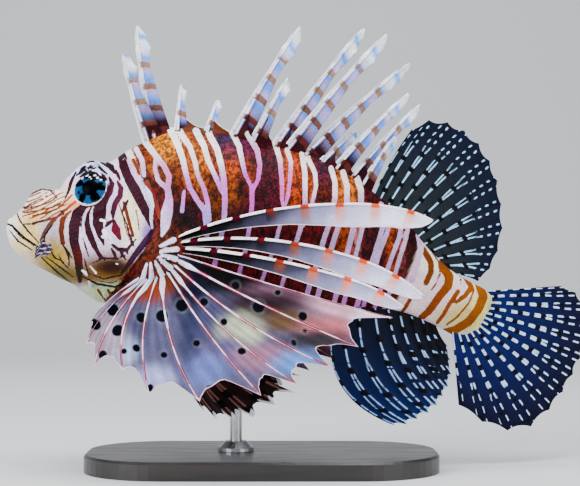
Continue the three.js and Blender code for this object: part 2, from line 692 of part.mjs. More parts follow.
node('head', headWhole, 'skin');
node('lower_jaw', jawWhole, 'skin');
node('torso', trunkWhole.subtract(stalkRegion(GAP)), 'skin');
node('tail_stalk', trunkWhole.intersect(stalkRegion()), 'skin');
node('dorsal_fin_spiny', spinyDorsal.subtract(headKeepOut), 'fin');
node('dorsal_fin_soft', rooted(softDorsal), 'darkFin');
node('anal_fin', rooted(analFin), 'darkFin');
node('caudal_fin', rooted(caudalFin), 'darkFin');
for (const [name, side] of Object.entries(SIDES)) {
  const droop = side > 0 ? RIGHT_DROOP : 0;
  node(`eye_${name}`, eyeball(side), 'eye');
  node(`pectoral_fin_${name}`, rooted(pectoralFin(side, droop, RIDGED)), 'fin');
  node(`pelvic_fin_${name}`, rooted(pelvicFin(side, droop / 2, RIDGED)), 'darkFin');
}
node('stand_base', standBase(), 'stand');
node('stand_collar', standCollar(), 'rod');
node('stand_rod', standRod().subtract(bodyKeepOut).trimByPlane([0, 0, -1], -BODY[0][HEIGHT]), 'rod');

// The origin is under the middle of the whole, on the surface that it stands on.
const middle = new THREE.Box3().setFromObject(fish).getCenter(V(0, 0, 0));
fish.position.set(-middle.x, -middle.y, 0);

const lionfish = new THREE.Group();
lionfish.add(fish);
export default lionfish;
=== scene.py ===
"""A red lionfish, life size, hovering with its fins spread over a plain display stand.

Shapes are worked out in millimetres in the fish's own frame (snout to -X, left flank to -Y,
+Z up, zero height at the table) and written in metres. Angles are in degrees, and shares and
places along a ray, spine or flap run from 0 to 1.
"""
import math
from types import SimpleNamespace

import bmesh
import bpy
import numpy as np
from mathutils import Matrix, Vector


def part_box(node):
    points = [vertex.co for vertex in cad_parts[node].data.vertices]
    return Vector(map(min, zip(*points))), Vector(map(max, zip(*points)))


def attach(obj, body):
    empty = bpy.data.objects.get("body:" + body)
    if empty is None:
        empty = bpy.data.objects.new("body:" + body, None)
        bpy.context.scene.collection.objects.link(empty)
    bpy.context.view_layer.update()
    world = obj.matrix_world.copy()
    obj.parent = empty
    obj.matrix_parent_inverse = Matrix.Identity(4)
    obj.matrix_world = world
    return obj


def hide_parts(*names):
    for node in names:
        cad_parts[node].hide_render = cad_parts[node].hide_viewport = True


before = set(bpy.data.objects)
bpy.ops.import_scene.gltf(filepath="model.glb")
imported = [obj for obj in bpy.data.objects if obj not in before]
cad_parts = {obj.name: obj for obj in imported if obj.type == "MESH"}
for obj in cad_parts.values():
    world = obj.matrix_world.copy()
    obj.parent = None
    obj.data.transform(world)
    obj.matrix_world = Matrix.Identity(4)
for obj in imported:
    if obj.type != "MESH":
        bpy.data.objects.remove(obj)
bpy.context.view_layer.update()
random = np.random.default_rng(7)

# The middle of the stand's base has this place along X in the fish's own frame.
BASE_X = -14.0
low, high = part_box("stand_base")
SHIFT = np.array([(low.x + high.x) / 2 - BASE_X / 1000, (low.y + high.y) / 2, 0.0])
SIDES = {"left": -1, "right": 1}
# Kinds of mark, each over the ones before it, and the distance given to points far from a mark.
KINDS = ("rust", "dark", "pale")
FAR = -9.0

# The body: place along X, height of the midline, reach above it, reach below it, half width.
BODY = np.array([
    [-141, 122.5, 2.5, 3, 2.5],
    [-135, 120.5, 13.5, 11.5, 8],
    [-127.5, 119.5, 20.5, 16.5, 12],
    [-120, 119, 20.8, 20.5, 14.5],
    [-114, 119, 21.2, 24.5, 16],
    [-107.5, 119.5, 27, 29.5, 18],
    [-99, 120, 32, 35.5, 20.5],
    [-87.5, 120.5, 33.5, 38, 23],
    [-75, 121, 41, 42, 25],
    [-62.5, 121, 46.7, 45, 26],
    [-42, 120.5, 48, 47.5, 26.5],
    [-20, 119.5, 44, 47.5, 25],
    [5, 117.5, 39, 44, 22],
    [27.5, 113.5, 31, 37.5, 18],
    [47.5, 107, 21, 29, 14],
    [62.5, 98.5, 13.5, 23, 10.5],
    [75, 89, 12, 17, 7.5],
    [86, 81.5, 13, 15, 6],
    [92, 77.5, 13.5, 14, 5],
    [96, 74.5, 11, 11, 3.5],
    [98, 73, 5, 5, 1.5],
])
HEIGHT, UPPER, LOWER, WIDTH = 1, 2, 3, 4
STATIONS = BODY[:, 0]
SNOUT_X, TAIL_X = STATIONS[0], STATIONS[-1]
TAIL_SWING = 16.0
BACK_KEEL = 0.15
BELLY_FULL = 0.1
BACK, BELLY = 90, 270


def slopes_of(column):
    """Slope of a size of the body at each station."""
    gaps = np.diff(STATIONS)
    rise = np.diff(BODY[:, column]) / gaps
    inner = (rise[:-1] * gaps[1:] + rise[1:] * gaps[:-1]) / (gaps[1:] + gaps[:-1])
    return np.concatenate([rise[:1], inner, rise[-1:]])


SLOPES = [None] + [slopes_of(column) for column in (HEIGHT, UPPER, LOWER, WIDTH)]


def body_size(column, x):
    """A size of the body at place x, on a smooth curve through the table."""
    x = np.asarray(x, float)
    i = np.clip(np.searchsorted(STATIONS, x) - 1, 0, len(BODY) - 2)
    span = STATIONS[i + 1] - STATIONS[i]
    t = np.clip((x - STATIONS[i]) / span, 0, 1)
    values, slopes = BODY[:, column], SLOPES[column]
    return (
        (2 * t**3 - 3 * t**2 + 1) * values[i]
        + (t**3 - 2 * t**2 + t) * span * slopes[i]
        + (3 * t**2 - 2 * t**3) * values[i + 1]
        + (t**3 - t**2) * span * slopes[i + 1]
    )


def lateral(x):
    """How far the midline is swung to the fish's right."""
    x = np.asarray(x, float)
    within = TAIL_SWING * (np.clip(x, 0, TAIL_X) / TAIL_X) ** 2
    return within + 2 * TAIL_SWING / TAIL_X * np.clip(x - TAIL_X, 0, None)


def up_at(x):
    """The direction across the midline, upwards."""
    slope = body_size(HEIGHT, x + 0.5) - body_size(HEIGHT, x - 0.5)
    up = np.stack([-slope, np.zeros_like(slope), np.ones_like(slope)], -1)
    return up / np.linalg.norm(up, axis=-1, keepdims=True)


def body_point(x, turn, grow=0.0):
    """Turn 0 is the left flank, 90 the back, 180 the right flank, 270 the belly."""
    x, turn = np.broadcast_arrays(np.asarray(x, float), np.asarray(turn, float))
    c, s = np.cos(np.radians(turn)), np.sin(np.radians(turn))
    power = np.where(s > 0, 1 + BACK_KEEL * s, 1 + BELLY_FULL * s)
    side = np.sign(c) * np.abs(c) ** power * (body_size(WIDTH, x) + grow)
    reach = s * (np.where(s > 0, body_size(UPPER, x), body_size(LOWER, x)) + grow)
    middle = np.stack([x, lateral(x) - side, body_size(HEIGHT, x)], -1)
    return middle + up_at(x) * reach[..., None]


def flank_point(x, z):
    """The point of the left flank at place x and height z."""
    reach = z - body_size(HEIGHT, x)
    size = body_size(UPPER if reach > 0 else LOWER, x)
    return body_point(x, math.degrees(math.asin(reach / size)))


# Markings are placed in a side view of the flank: u to the tail and v down, in half millimetres
# on the middle plane, seen from VIEW_AWAY. Both flanks carry the same markings.
VIEW_U, VIEW_V = 290.0, 243.0
VIEW_HEIGHT = 113.0
VIEW_AWAY = 900.0
VIEW_STEP = 0.5


def side_view(points):
    scale = VIEW_STEP * (VIEW_AWAY - np.abs(points[..., 1])) / VIEW_AWAY
    return VIEW_U + points[..., 0] / scale, VIEW_V - (points[..., 2] - VIEW_HEIGHT) / scale


def from_stretch(u, v, start, end):
    """Each point's place along a straight stretch, and its distance from it."""
    du, dv = end[0] - start[0], end[1] - start[1]
    along = np.clip(((u - start[0]) * du + (v - start[1]) * dv) / (du * du + dv * dv), 0, 1)
    return along, np.hypot(u - start[0] - along * du, v - start[1] - along * dv)


def line_field(u, v, marks):
    """Signed distance in millimetres into the nearest mark.

    A mark is a broken line, as the u and v of each point in turn, and then half widths that are
    spread evenly along it.
    """
    field = np.full(u.shape, FAR)
    for line, *widths in marks:
        points = np.reshape(line, (-1, 2))
        pieces = len(points) - 1
        for i in range(pieces):
            along, away = from_stretch(u, v, points[i], points[i + 1])
            half = np.interp((i + along) / pieces, np.linspace(0, 1, len(widths)), widths)
            field = np.maximum(field, (half - away) * VIEW_STEP)
    return field


DEPTH = 1.5
VIVID = 1.2
BRIGHTNESS = np.array([0.21, 0.72, 0.07])


def colour(r, g, b):
    """A colour given as seen on a screen, 0 to 255, as linear light, a little deepened."""
    seen = np.array([r, g, b]) / 255
    light = np.where(seen <= 0.04045, seen / 12.92, ((seen + 0.055) / 1.055) ** 2.4)
    light = light * light.max() ** (DEPTH - 1)
    grey = light @ BRIGHTNESS
    return np.clip(grey + (light - grey) * VIVID, 0, 1)


def blend(share, first, second):
    """From the first colour to the second by a share at each point."""
    share = np.clip(share, 0, 1)[..., None]
    return first * (1 - share) + second * share


def patches(u, v, ground, spots):
    """Soft patches over a ground colour: each is a place, two radii and a colour."""
    field = np.broadcast_to(colour(*ground), u.shape + (3,))
    for pu, pv, ru, rv, *tint in spots:
        away = ((u - pu) / ru) ** 2 + ((v - pv) / rv) ** 2
        field = blend(np.exp(-((0.55 * away) ** 2)), field, colour(*tint))
    return field


def paint(mesh, key, values, channels):
    """Values for all points, for one of two faces, or a single one for the whole mesh."""
    flat = np.reshape(values, (-1, channels))
    full = np.tile(flat, (len(mesh.vertices) // len(flat), 1))
    if channels == 1:
        mesh.attributes.new(key, "FLOAT", "POINT").data.foreach_set("value", full.ravel())
    else:
        full = np.column_stack([full, np.ones(len(full))])
        mesh.attributes.new(key, "FLOAT_COLOR", "POINT").data.foreach_set("color", full.ravel())


def make_piece(name, points, faces, material, ground, marks, tints):
    """A piece with its ground colour and, for each kind of mark, its distances and colour."""
    mesh = bpy.data.meshes.new(name)
    mesh.from_pydata((points / 1000 + SHIFT).tolist(), [], faces)
    work = bmesh.new()
    work.from_mesh(mesh)
    bmesh.ops.recalc_face_normals(work, faces=work.faces)
    work.to_mesh(mesh)
    work.free()
    mesh.polygons.foreach_set("use_smooth", [True] * len(mesh.polygons))
    paint(mesh, "ground", ground, 3)
    for kind in KINDS:
        paint(mesh, kind, marks.get(kind, FAR), 1)
        paint(mesh, kind + "_tint", tints.get(kind, colour(0, 0, 0)), 3)
    piece = bpy.data.objects.new(name, mesh)
    bpy.context.scene.collection.objects.link(piece)
    piece.data.materials.append(material)
    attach(piece, "root")
    return piece


def ring_faces(rings, sides):
    """Quads that skin rings of points one after the other, and a fan over each end."""
    i, j = np.meshgrid(np.arange(rings - 1), np.arange(sides), indexing="ij")
    k = (j + 1) % sides
    quads = np.stack([i * sides + j, i * sides + k, (i + 1) * sides + k, (i + 1) * sides + j], -1)
    first, last = rings * sides, rings * sides + 1
    fans = [[first, (j + 1) % sides, j] for j in range(sides)]
    start = (rings - 1) * sides
    fans += [[last, start + j, start + (j + 1) % sides] for j in range(sides)]
    return quads.reshape(-1, 4).tolist() + fans


def with_ends(grid):
    """Ring points of a skinned form, flat, with the middle of each end ring added."""
    return np.concatenate([grid.reshape(-1, 3), grid[0].mean(0)[None], grid[-1].mean(0)[None]])


def grid_normals(grid):
    """Directions straight out of a grid of points."""
    normal = np.cross(np.gradient(grid, axis=0), np.gradient(grid, axis=1))
    return normal / (np.linalg.norm(normal, axis=-1, keepdims=True) + 1e-9)


def two_faced(grid, lift):
    """Points and faces of a thin body: a grid of middle points, lifted to either side."""
    columns, rows = grid.shape[:2]
    points = np.concatenate([(grid + lift).reshape(-1, 3), (grid - lift).reshape(-1, 3)])
    index = np.arange(columns * rows).reshape(columns, rows)
    a, b, c, d = index[:-1, :-1], index[1:, :-1], index[1:, 1:], index[:-1, 1:]
    front = np.stack([a, b, c, d], -1).reshape(-1, 4)
    back = np.stack([a, d, c, b], -1).reshape(-1, 4) + columns * rows
    rim = np.concatenate([index[:, 0], index[-1, 1:], index[-2::-1, -1], index[0, -2:0:-1]])
    after = np.roll(rim, -1)
    edge = np.stack([rim, rim + columns * rows, after + columns * rows, after], -1)
    return points, np.concatenate([front, back, edge]).tolist()


class Shader:
    """A material whose nodes are made by short calls."""

    def __init__(self, name):
        self.material = bpy.data.materials.new(name)
        self.material.use_nodes = True
        self.tree = self.material.node_tree
        self.surface = self.tree.nodes["Principled BSDF"]

    def put(self, socket, value):
        if isinstance(value, bpy.types.NodeSocket):
            self.tree.links.new(value, socket)
        else:
            socket.default_value = value

    def node(self, kind, inputs, **settings):
        made = self.tree.nodes.new(kind)
        for key, value in settings.items():
            setattr(made, key, value)
        for key, value in inputs.items():
            self.put(made.inputs[key], value)
        return made.outputs

    def attribute(self, name, kind="Fac"):
        return self.node("ShaderNodeAttribute", {}, attribute_name=name)[kind]

    def place(self):
        return self.node("ShaderNodeTexCoord", {})["Object"]

    def stretched(self, x, y, z):
        return self.node("ShaderNodeMapping", {"Scale": (x, y, z), "Vector": self.place()})[0]

    def math(self, operation, a, b=0.0, c=0.0):
        return self.node("ShaderNodeMath", {0: a, 1: b, 2: c}, operation=operation)[0]

    def ramp(self, value, start, end, low=0.0, high=1.0):
        sockets = {0: value, 1: start, 2: end, 3: low, 4: high}
        return self.node("ShaderNodeMapRange", sockets, interpolation_type="SMOOTHSTEP")[0]

    def noise(self, scale, detail=2.0, roughness=0.5, place=None):
        sockets = {"Scale": scale, "Detail": detail, "Roughness": roughness}
        return self.node("ShaderNodeTexNoise", {**sockets, "Vector": place or self.place()})["Fac"]

    def cells(self, scale):
        return self.node("ShaderNodeTexVoronoi", {"Scale": scale, "Vector": self.place()})["Distance"]

    def mix(self, share, a, b, way="MIX"):
        a, b = (x if isinstance(x, bpy.types.NodeSocket) else (*x, 1) for x in (a, b))
        return self.node("ShaderNodeMix", {0: share, 6: a, 7: b}, data_type="RGBA", blend_type=way)[2]

    def shaded(self, base, share):
        """A colour made darker or lighter by a share of it."""
        tone = self.node("ShaderNodeCombineColor", {0: share, 1: share, 2: share})[0]
        return self.mix(1.0, base, tone, "MULTIPLY")

    def bump(self, height, distance):
        relief = self.node("ShaderNodeBump", {"Distance": distance, "Height": height})[0]
        self.put(self.surface.inputs["Normal"], relief)
        self.put(self.surface.inputs["Coat Normal"], relief)

    def finish(self, base, roughness, **constants):
        self.put(self.surface.inputs["Base Color"], base)
        self.put(self.surface.inputs["Roughness"], roughness)
        for key, value in constants.items():
            socket = key.replace("_", " ").title().replace("Ior", "IOR")
            self.surface.inputs[socket].default_value = value
        return self.material


# Grains of the skin and fins, in spots to the metre.
EDGE_GRAIN, MOTTLE_GRAIN, SPECKLE_GRAIN, CLOUD_GRAIN = 620, 430, 1500, 150
GLOSS_GRAIN, RIPPLE_GRAIN, SCALE_GRAIN = 700, 900, 820
COAT_ROUGHNESS = 0.22


def marked(name, wobble=0.5, roughness=0.42, soft=0.14, speckle=0.3, mottle=0.0, scales=0.0,
           ripples=0.0, coat=0.02, shine=0.06):
    """Skin or fin: a ground colour with rusty, dark and pale marks that have clean edges."""
    shader = Shader(name)
    shift = shader.math("MULTIPLY_ADD", shader.noise(EDGE_GRAIN, 3, 0.6), wobble, -wobble / 2)
    base = shader.attribute("ground", "Color")
    if mottle:
        flecks = shader.noise(MOTTLE_GRAIN, 7, 0.72, shader.stretched(1.3, 1, 0.7))
        flecked = shader.shaded(base, shader.ramp(flecks, 0.44, 0.58, 1 - mottle, 1 + mottle * 0.35))
        base = shader.mix(shader.attribute("flecked"), base, flecked)
    for kind in KINDS:
        edge = shader.math("ADD", shader.attribute(kind), shift)
        share = shader.ramp(edge, -soft, soft)
        base = shader.mix(share, base, shader.attribute(kind + "_tint", "Color"))
    grain = shader.noise(SPECKLE_GRAIN, 4, 0.65)
    base = shader.shaded(base, shader.ramp(grain, 0.3, 0.7, 1 - speckle, 1 + speckle * 0.4))
    base = shader.shaded(base, shader.ramp(shader.noise(CLOUD_GRAIN, 3), 0.3, 0.7, 0.86, 1.1))
    gloss = shader.noise(GLOSS_GRAIN, 2)
    rough = shader.ramp(gloss, 0.3, 0.7, roughness - 0.1, roughness + 0.1)
    if scales:
        pitted = shader.noise(SPECKLE_GRAIN, 3)
        shader.bump(shader.math("MULTIPLY_ADD", pitted, 0.8, shader.cells(SCALE_GRAIN)), scales)
    elif ripples:
        shader.bump(shader.noise(RIPPLE_GRAIN, 3), ripples)
    return shader.finish(base, rough, coat_weight=coat, coat_roughness=COAT_ROUGHNESS,
                         specular_ior_level=shine)


# The head: eye, orbit, gill cover, mouth line, and the swelling round the pectoral fin's base.
EYE = SimpleNamespace(x=-97.3, z=139.2, wide=9.8, deep=7.0, proud=3.4, upwards=24.0, forwards=12.0,
                      pupil=4.1, iris=5.4, rim=8.5, rings=70, sides=96)
# White flecks on the lid: place from the middle of the eye, and radius.
EYE_FLECKS = [
    (-4.6, 6, 0.7), (-2.4, 7.4, 0.8), (-0.6, 6.2, 0.55), (1.6, 7.6, 0.7), (3.4, 6, 0.7),
    (5.2, 5, 0.5), (0.6, 5, 0.35),
]
ORBIT = SimpleNamespace(radius=11.0, wide=2.2, high=1.2)
GILL_EDGE = [
    (-81, 163), (-74, 147), (-69, 131), (-67.5, 121), (-70.5, 112), (-77, 103), (-84, 94),
    (-92, 85), (-97, 76),
]
GILL_HIGH = 1.5
FIN_BASE = SimpleNamespace(x=-61.5, z=104.0, long=10.0, tall=15.0, high=3.6)
MOUTH = [(-150, 125.5), (-138, 121.5), (-131, 115.5), (-124, 111)]
# Swellings and hollows of the head: place, turn, length, spread in degrees, height.
RELIEF = [(-98, 66, 9, 13, 2.4), (-90, -28, 13, 20, 1.8), (-122, 48, 6, 18, 1.2), (-110, 20, 5, 16, -1)]


def smooth_line(points, count):
    """A smooth curve through points."""
    p = np.array(points, float)
    at = np.linspace(0, len(p) - 1, count)
    i = np.minimum(at.astype(int), len(p) - 2)
    t = (at - i)[:, None]
    a, b, c, d = p[np.maximum(i - 1, 0)], p[i], p[i + 1], p[np.minimum(i + 2, len(p) - 1)]
    m, n = (c - a) / 2, (d - b) / 2
    return (2 * b - 2 * c + m + n) * t**3 + (3 * c - 3 * b - 2 * m - n) * t**2 + m * t + b


GILL = smooth_line(GILL_EDGE, 80)[::-1]


def behind_gill(x, z):
    """How far points lie behind the rear edge of the gill cover."""
    return x - np.interp(z, GILL[:, 1], GILL[:, 0])


def mouth_distance(x, z):
    return np.min([from_stretch(x, z, *ends)[1] for ends in zip(MOUTH[:-1], MOUTH[1:])], axis=0)


def bell(x):
    return np.exp(-(x**2))


def head_relief(x, turn, z):
    half = np.where((turn > 90) & (turn < 270), 180 - turn, np.where(turn >= 270, turn - 360, turn))
    high = np.zeros_like(x)
    for place, around, long, spread, up in RELIEF:
        high += up * bell((x - place) / long) * bell((half - around) / spread)
    high += ORBIT.high * bell((np.hypot(x - EYE.x, z - EYE.z) - ORBIT.radius) / ORBIT.wide)
    mouth = mouth_distance(x, z)
    high += 0.9 * bell((mouth - 0.8) / 1.6) - 1.9 * bell(mouth / 0.55)
    past = behind_gill(x, z)
    cover = bell(past / np.where(past < 0, 9, 0.7))
    high += GILL_HIGH * cover * np.abs(np.cos(np.radians(half))) ** 0.5
    fx, fz = (FIN_BASE.x - x) / FIN_BASE.long, (FIN_BASE.z - z) / FIN_BASE.tall
    ridges = 1 + 0.12 * np.sin(9 * np.arctan2(fz, fx))
    high += FIN_BASE.high * np.exp(-((fx**2 + fz**2) ** 1.5)) * ridges
    return high * np.clip((x - SNOUT_X) / 2, 0, 1)


# Rays of the pectoral fin, from the free rays at the top: x and z of the root, length, heading,
# how far the tip stands out, and bow.
PECTORAL = [
    (-56.5, 114.5, 124.5, 6, 27, 18), (-55.5, 112.5, 120.5, -10, 31, 20),
    (-55, 110, 110.5, -12, 33, 9), (-55, 107.6, 107, -16, 35, -2),
    (-55.5, 105.2, 96.5, -25, 37, -3), (-56.5, 102.8, 89, -32, 39, -8),
    (-58, 100.8, 82, -41, 39, -8), (-59.5, 99, 73.5, -51, 39, -4),
    (-62, 97, 61, -71, 37, -9), (-64.2, 95.5, 54, -91.5, 33, -10),
    (-67.2, 94.5, 43, -104.5, 29, -12), (-69.6, 94, 45.5, -120.5, 25, -8),
    (-72, 94, 38, -130.5, 21, -7), (-74, 94.5, 29, -135, 17, -5),
]
FREE_RAYS = 3
PECTORAL_OUT = 25.0
PECTORAL_BELLY = 8.0
RIGHT_DROOP = 9.0
# Pale lines of the trunk, front to back.
TRUNK_LINES = [
    ((136, 149, 142, 160, 144, 175), 2.6, 2.2),
    ((129, 160, 134, 173, 140, 183, 149, 194, 152, 205, 151, 216, 152, 228), 2.3, 2.8, 1),
    ((146, 143, 156, 156, 164, 166, 169, 176, 168, 188), 3.2, 2.4),
    ((156, 158, 155, 168, 158, 180, 167, 189), 2, 2.4),
    ((168, 187, 169, 200, 167, 212, 165, 226, 162, 236), 2.4, 4, 6, 4.6, 1.2),
    ((184, 191, 183, 202, 182, 211), 1.6, 2.2),
    ((171, 131, 178, 145, 183, 160, 186, 174, 190, 188, 197, 200, 205, 211, 207, 235), 3.5, 2.4, 2.8),
    ((180, 132, 190, 147, 195, 162, 198, 176, 204, 189, 208, 204, 209, 220), 3.1, 2, 2.5),
    ((196, 131, 204, 146, 208, 160, 215, 176, 222, 192), 3.3, 2),
    ((209, 134, 217, 149, 221, 164, 224, 180, 225, 200, 224, 222, 219, 246, 211, 280, 203, 312),
     3.2, 2.2),
    ((232, 132, 239, 146, 242, 160, 245, 174, 252, 188), 3, 1.7),
    ((248, 134, 257, 150, 260, 165, 258, 180, 253, 190), 3, 1.8),
    ((252, 188, 252, 204, 250, 224, 245, 252, 237, 282, 228, 314), 2.4, 2),
    ((275, 142, 280, 160, 282, 182, 282, 200, 284, 208), 2.8, 1.5),
    ((287, 150, 291, 162, 290, 180, 288, 196, 284, 208), 2.4, 1.5),
    ((284, 206, 281, 222, 274, 248, 262, 280, 252, 312), 1.9),
    ((302, 154, 305, 174, 305, 206, 300, 230, 293, 252, 284, 278, 274, 314), 2.6, 2),
    ((308, 158, 315, 173, 316, 186, 311, 208, 303, 226), 2.4, 1.6),
    ((331, 168, 335, 182, 335, 198, 331, 220, 325, 236, 319, 256, 310, 284, 301, 316), 2.5),
    ((343, 172, 347, 186, 347, 202, 340, 222, 334, 240, 328, 260, 320, 288, 312, 316), 2.8, 2.5),
    ((357, 178, 361, 190, 361, 204, 355, 222, 350, 242, 345, 262, 337, 292, 330, 318), 3, 2.5),
    ((368, 206, 364, 222, 358, 246, 353, 266, 345, 298, 340, 318), 2, 2.2),
    ((381, 204, 385, 216, 382, 230, 376, 250, 368, 275, 358, 302, 352, 322), 2.5),
    ((388, 208, 390, 218, 387, 234, 380, 252, 372, 278, 364, 304, 360, 322), 2),
    ((399, 214, 402, 224, 399, 238, 393, 254, 385, 276, 376, 304, 371, 322), 2.2),
    ((406, 217, 408, 228, 405, 242, 400, 257, 394, 278, 386, 304, 382, 322), 2.2, 2),
    ((419, 236, 421, 248, 418, 262, 412, 280), 3, 3),
]
# Bars of the tail base, and rusty stripes of the snout and the gill cover.
RUST_BARS = [
    ((424, 250, 431, 262, 431, 272, 426, 283), 3.4, 2.8),
    ((444, 266, 451, 277, 449, 286, 440, 297, 430, 312, 424, 318), 5.4, 3.6),
    ((470, 278, 475, 288, 467, 297, 458, 303), 3.4, 2),
    ((460, 292, 452, 303, 445, 316, 440, 324), 2.4, 2), ((455, 262, 464, 274, 463, 284), 1.2, 1),
    ((434, 252, 441, 264, 440, 276, 432, 290), 1, 1.2),
    ((478, 290, 472, 304, 460, 318, 450, 326), 1, 1.2), ((414, 290, 409, 302, 404, 312), 2.4, 2),
    ((485, 286, 488, 298, 483, 310, 473, 323, 459, 332, 449, 335), 5.4, 4.6),
    ((72, 195, 64, 203, 57, 209, 46, 213, 33, 216), 1, 1),
    ((57, 197, 48, 203, 38, 206, 25, 209), 0.9, 0.8), ((47, 196, 38, 200, 28, 205), 0.8, 0.6),
    ((60, 204, 50, 208, 36, 211, 24, 213), 1, 0.7),
    ((78, 200, 70, 206, 63, 212, 57, 217, 47, 220, 33, 223), 1.5, 1.1),
    ((71, 211, 64, 217, 60, 221), 1.2, 1), ((55, 219, 50, 224, 44, 234, 42, 241), 2, 2.4),
    ((63, 219, 61, 231, 63, 243), 2.8, 2.4), ((124, 203, 128, 218, 133, 236), 1.8, 1.6),
    ((136, 210, 138, 220, 139, 230), 0.7, 0.6), ((119, 204, 123, 216, 126, 230, 131, 243), 0.7, 0.6),
    ((133, 160, 137, 167, 139, 174), 2, 1.6), ((147, 182, 151, 194, 156, 204, 160, 217), 2.2, 2.4),
    ((98, 290, 106, 301), 1.4, 1.2), ((108, 290, 115, 302), 1.5, 1.4), ((118, 287, 123, 299), 1.5, 1.4),
    ((127, 284, 130, 294), 1.3, 1.2),
]
# Dark stripes and fine creases of the head, and its white marks.
HEAD_STRIPES = [
    ((92, 204, 84, 206, 77, 214, 74, 227, 74, 242, 78, 256, 79, 268, 80, 281),
     1, 3.6, 5.4, 5.6, 4.8, 4.4, 4, 2),
    ((92, 206, 88, 214, 87, 224, 89, 233, 94, 245, 101, 259), 0.6, 1.6, 2.8, 3.6, 3, 1),
    ((109, 177, 112, 184, 110, 192, 103, 201, 99, 211, 98, 224, 101, 236, 104, 245),
     1, 2.6, 3, 5, 6.2, 5.4, 3.4, 0.8),
    ((117, 181, 121, 188, 120, 196, 115, 204, 113, 212, 113, 218), 1, 2.6, 3, 3, 2.6, 1.2),
    ((128, 200, 125, 206, 122, 213), 1, 2, 0.7),
    ((120, 150, 125, 166, 131, 181, 138, 196, 145, 210, 152, 226), 3.2, 6, 5.8, 5.2, 4.6, 2.6),
    ((107, 163, 111, 167, 115, 173), 1.4, 3.2, 1.4), ((102, 174, 104, 178, 105, 182), 0.8, 2, 0.8),
    ((116, 170, 118, 175, 120, 180), 0.8, 2, 0.8), ((100, 162, 104, 164, 107, 167), 0.6, 1.4, 0.6),
    ((76, 176, 83, 170, 91, 167), 0.7, 2, 0.7), ((91, 165, 99, 167, 107, 174), 0.6, 1.5, 1),
    ((80, 177, 88, 172, 96, 174, 103, 180), 0.9, 2.2, 2, 0.9),
    ((86, 163, 91, 161, 96, 162), 0.5, 1.2, 0.5), ((81, 169, 85, 167), 1, 1.7),
    ((90, 167, 95, 169), 1.6, 0.9), ((98, 165, 102, 170), 1, 1.5), ((86, 172, 91, 171), 1.2, 0.8),
    ((104, 176, 107, 180), 1.4, 0.8), ((80, 204, 88, 207), 0.6, 0.9),
    ((83, 238, 86, 248, 89, 258), 0.5, 1, 0.5), ((98, 250, 103, 258, 106, 262), 0.5, 1, 0.5),
    ((53, 224, 47, 232, 43, 240), 0.5, 1.1, 0.5), ((126, 226, 130, 236, 134, 246), 0.5, 1.3, 0.8),
    ((121, 210, 125, 220, 130, 232), 0.5, 0.9, 0.5), ((83, 214, 81, 224, 82, 232), 0.3, 0.7, 0.3),
    ((106, 208, 105, 218, 107, 224), 0.4, 1, 0.4), ((57, 205, 63, 213, 66, 222), 0.3, 0.7, 0.3),
    ((76, 172, 71, 182, 69, 190, 65, 199), 0.9, 1.9, 1.6, 0.6),
    ((74, 192, 80, 202, 90, 206, 100, 203, 107, 195, 108, 184), 0.8, 1.2, 1.4, 1.2, 0.7),
    ((136, 239, 127, 250, 118, 249, 109, 242), 0.7, 2, 2, 0.7),
    ((111, 248, 114, 253, 117, 259), 0.7, 1.9, 0.8), ((119, 250, 122, 254, 126, 260), 0.6, 1.6, 0.8),
    ((114, 221, 116, 230, 120, 239), 1.6, 4.6, 1.6), ((105, 227, 109, 223, 114, 220), 0.8, 2.2, 0.8),
    ((155, 226, 149, 237, 141, 247, 130, 262, 122, 272), 1.4, 3.4, 3.4, 2.6, 1),
    ((60, 240, 66, 250, 69, 258, 69, 266), 0.5, 1.2, 1, 0.5),
    ((65, 247, 68, 252, 72, 258), 0.5, 1.1, 0.5), ((84, 258, 86, 266, 88, 272), 0.5, 1, 0.5),
    ((24, 202, 31, 194, 42, 189, 54, 191), 0.5, 1, 0.9, 0.6),
    ((46, 187, 51, 191, 57, 198), 0.5, 0.9, 0.5), ((19, 203, 24, 208, 32, 206), 0.5, 0.8, 0.5),
    ((15, 208, 20, 221, 28, 231, 39, 243), 0.6, 0.9, 1, 0.7), ((10, 231, 18, 241, 32, 250), 0.5, 1, 0.7),
    ((13, 228, 21, 237, 34, 246), 0.5, 0.7, 0.5), ((24, 224, 34, 224, 43, 220), 0.6, 1, 0.5),
    ((41, 257, 56, 271, 71, 283), 0.6, 1.1, 0.7), ((46, 257, 60, 267, 73, 277), 0.5, 0.9, 0.5),
    ((49, 249, 55, 258, 64, 262), 0.5, 0.9, 0.5), ((58, 253, 62, 262, 70, 270), 0.4, 0.8, 0.4),
    ((80, 275, 97, 284, 115, 287, 129, 280, 139, 268), 0.6, 1.1, 1.1, 1, 0.6),
    ((88, 273, 104, 279, 121, 275, 132, 264), 0.5, 0.9, 0.9, 0.5),
    ((90, 264, 104, 258, 117, 259, 129, 253), 0.5, 1, 1, 0.5),
    ((98, 281, 112, 283, 126, 276), 0.3, 0.6, 0.3),
]
HEAD_PALE = [
    ((104, 231, 107, 238, 111, 241), 2.2, 3), ((101, 220, 105, 221), 1.5, 1.3),
    ((90, 266, 96, 273), 0.6, 1.1), ((96, 171, 100, 172), 0.8, 0.6), ((86, 168, 88, 171), 0.8, 0.6),
]
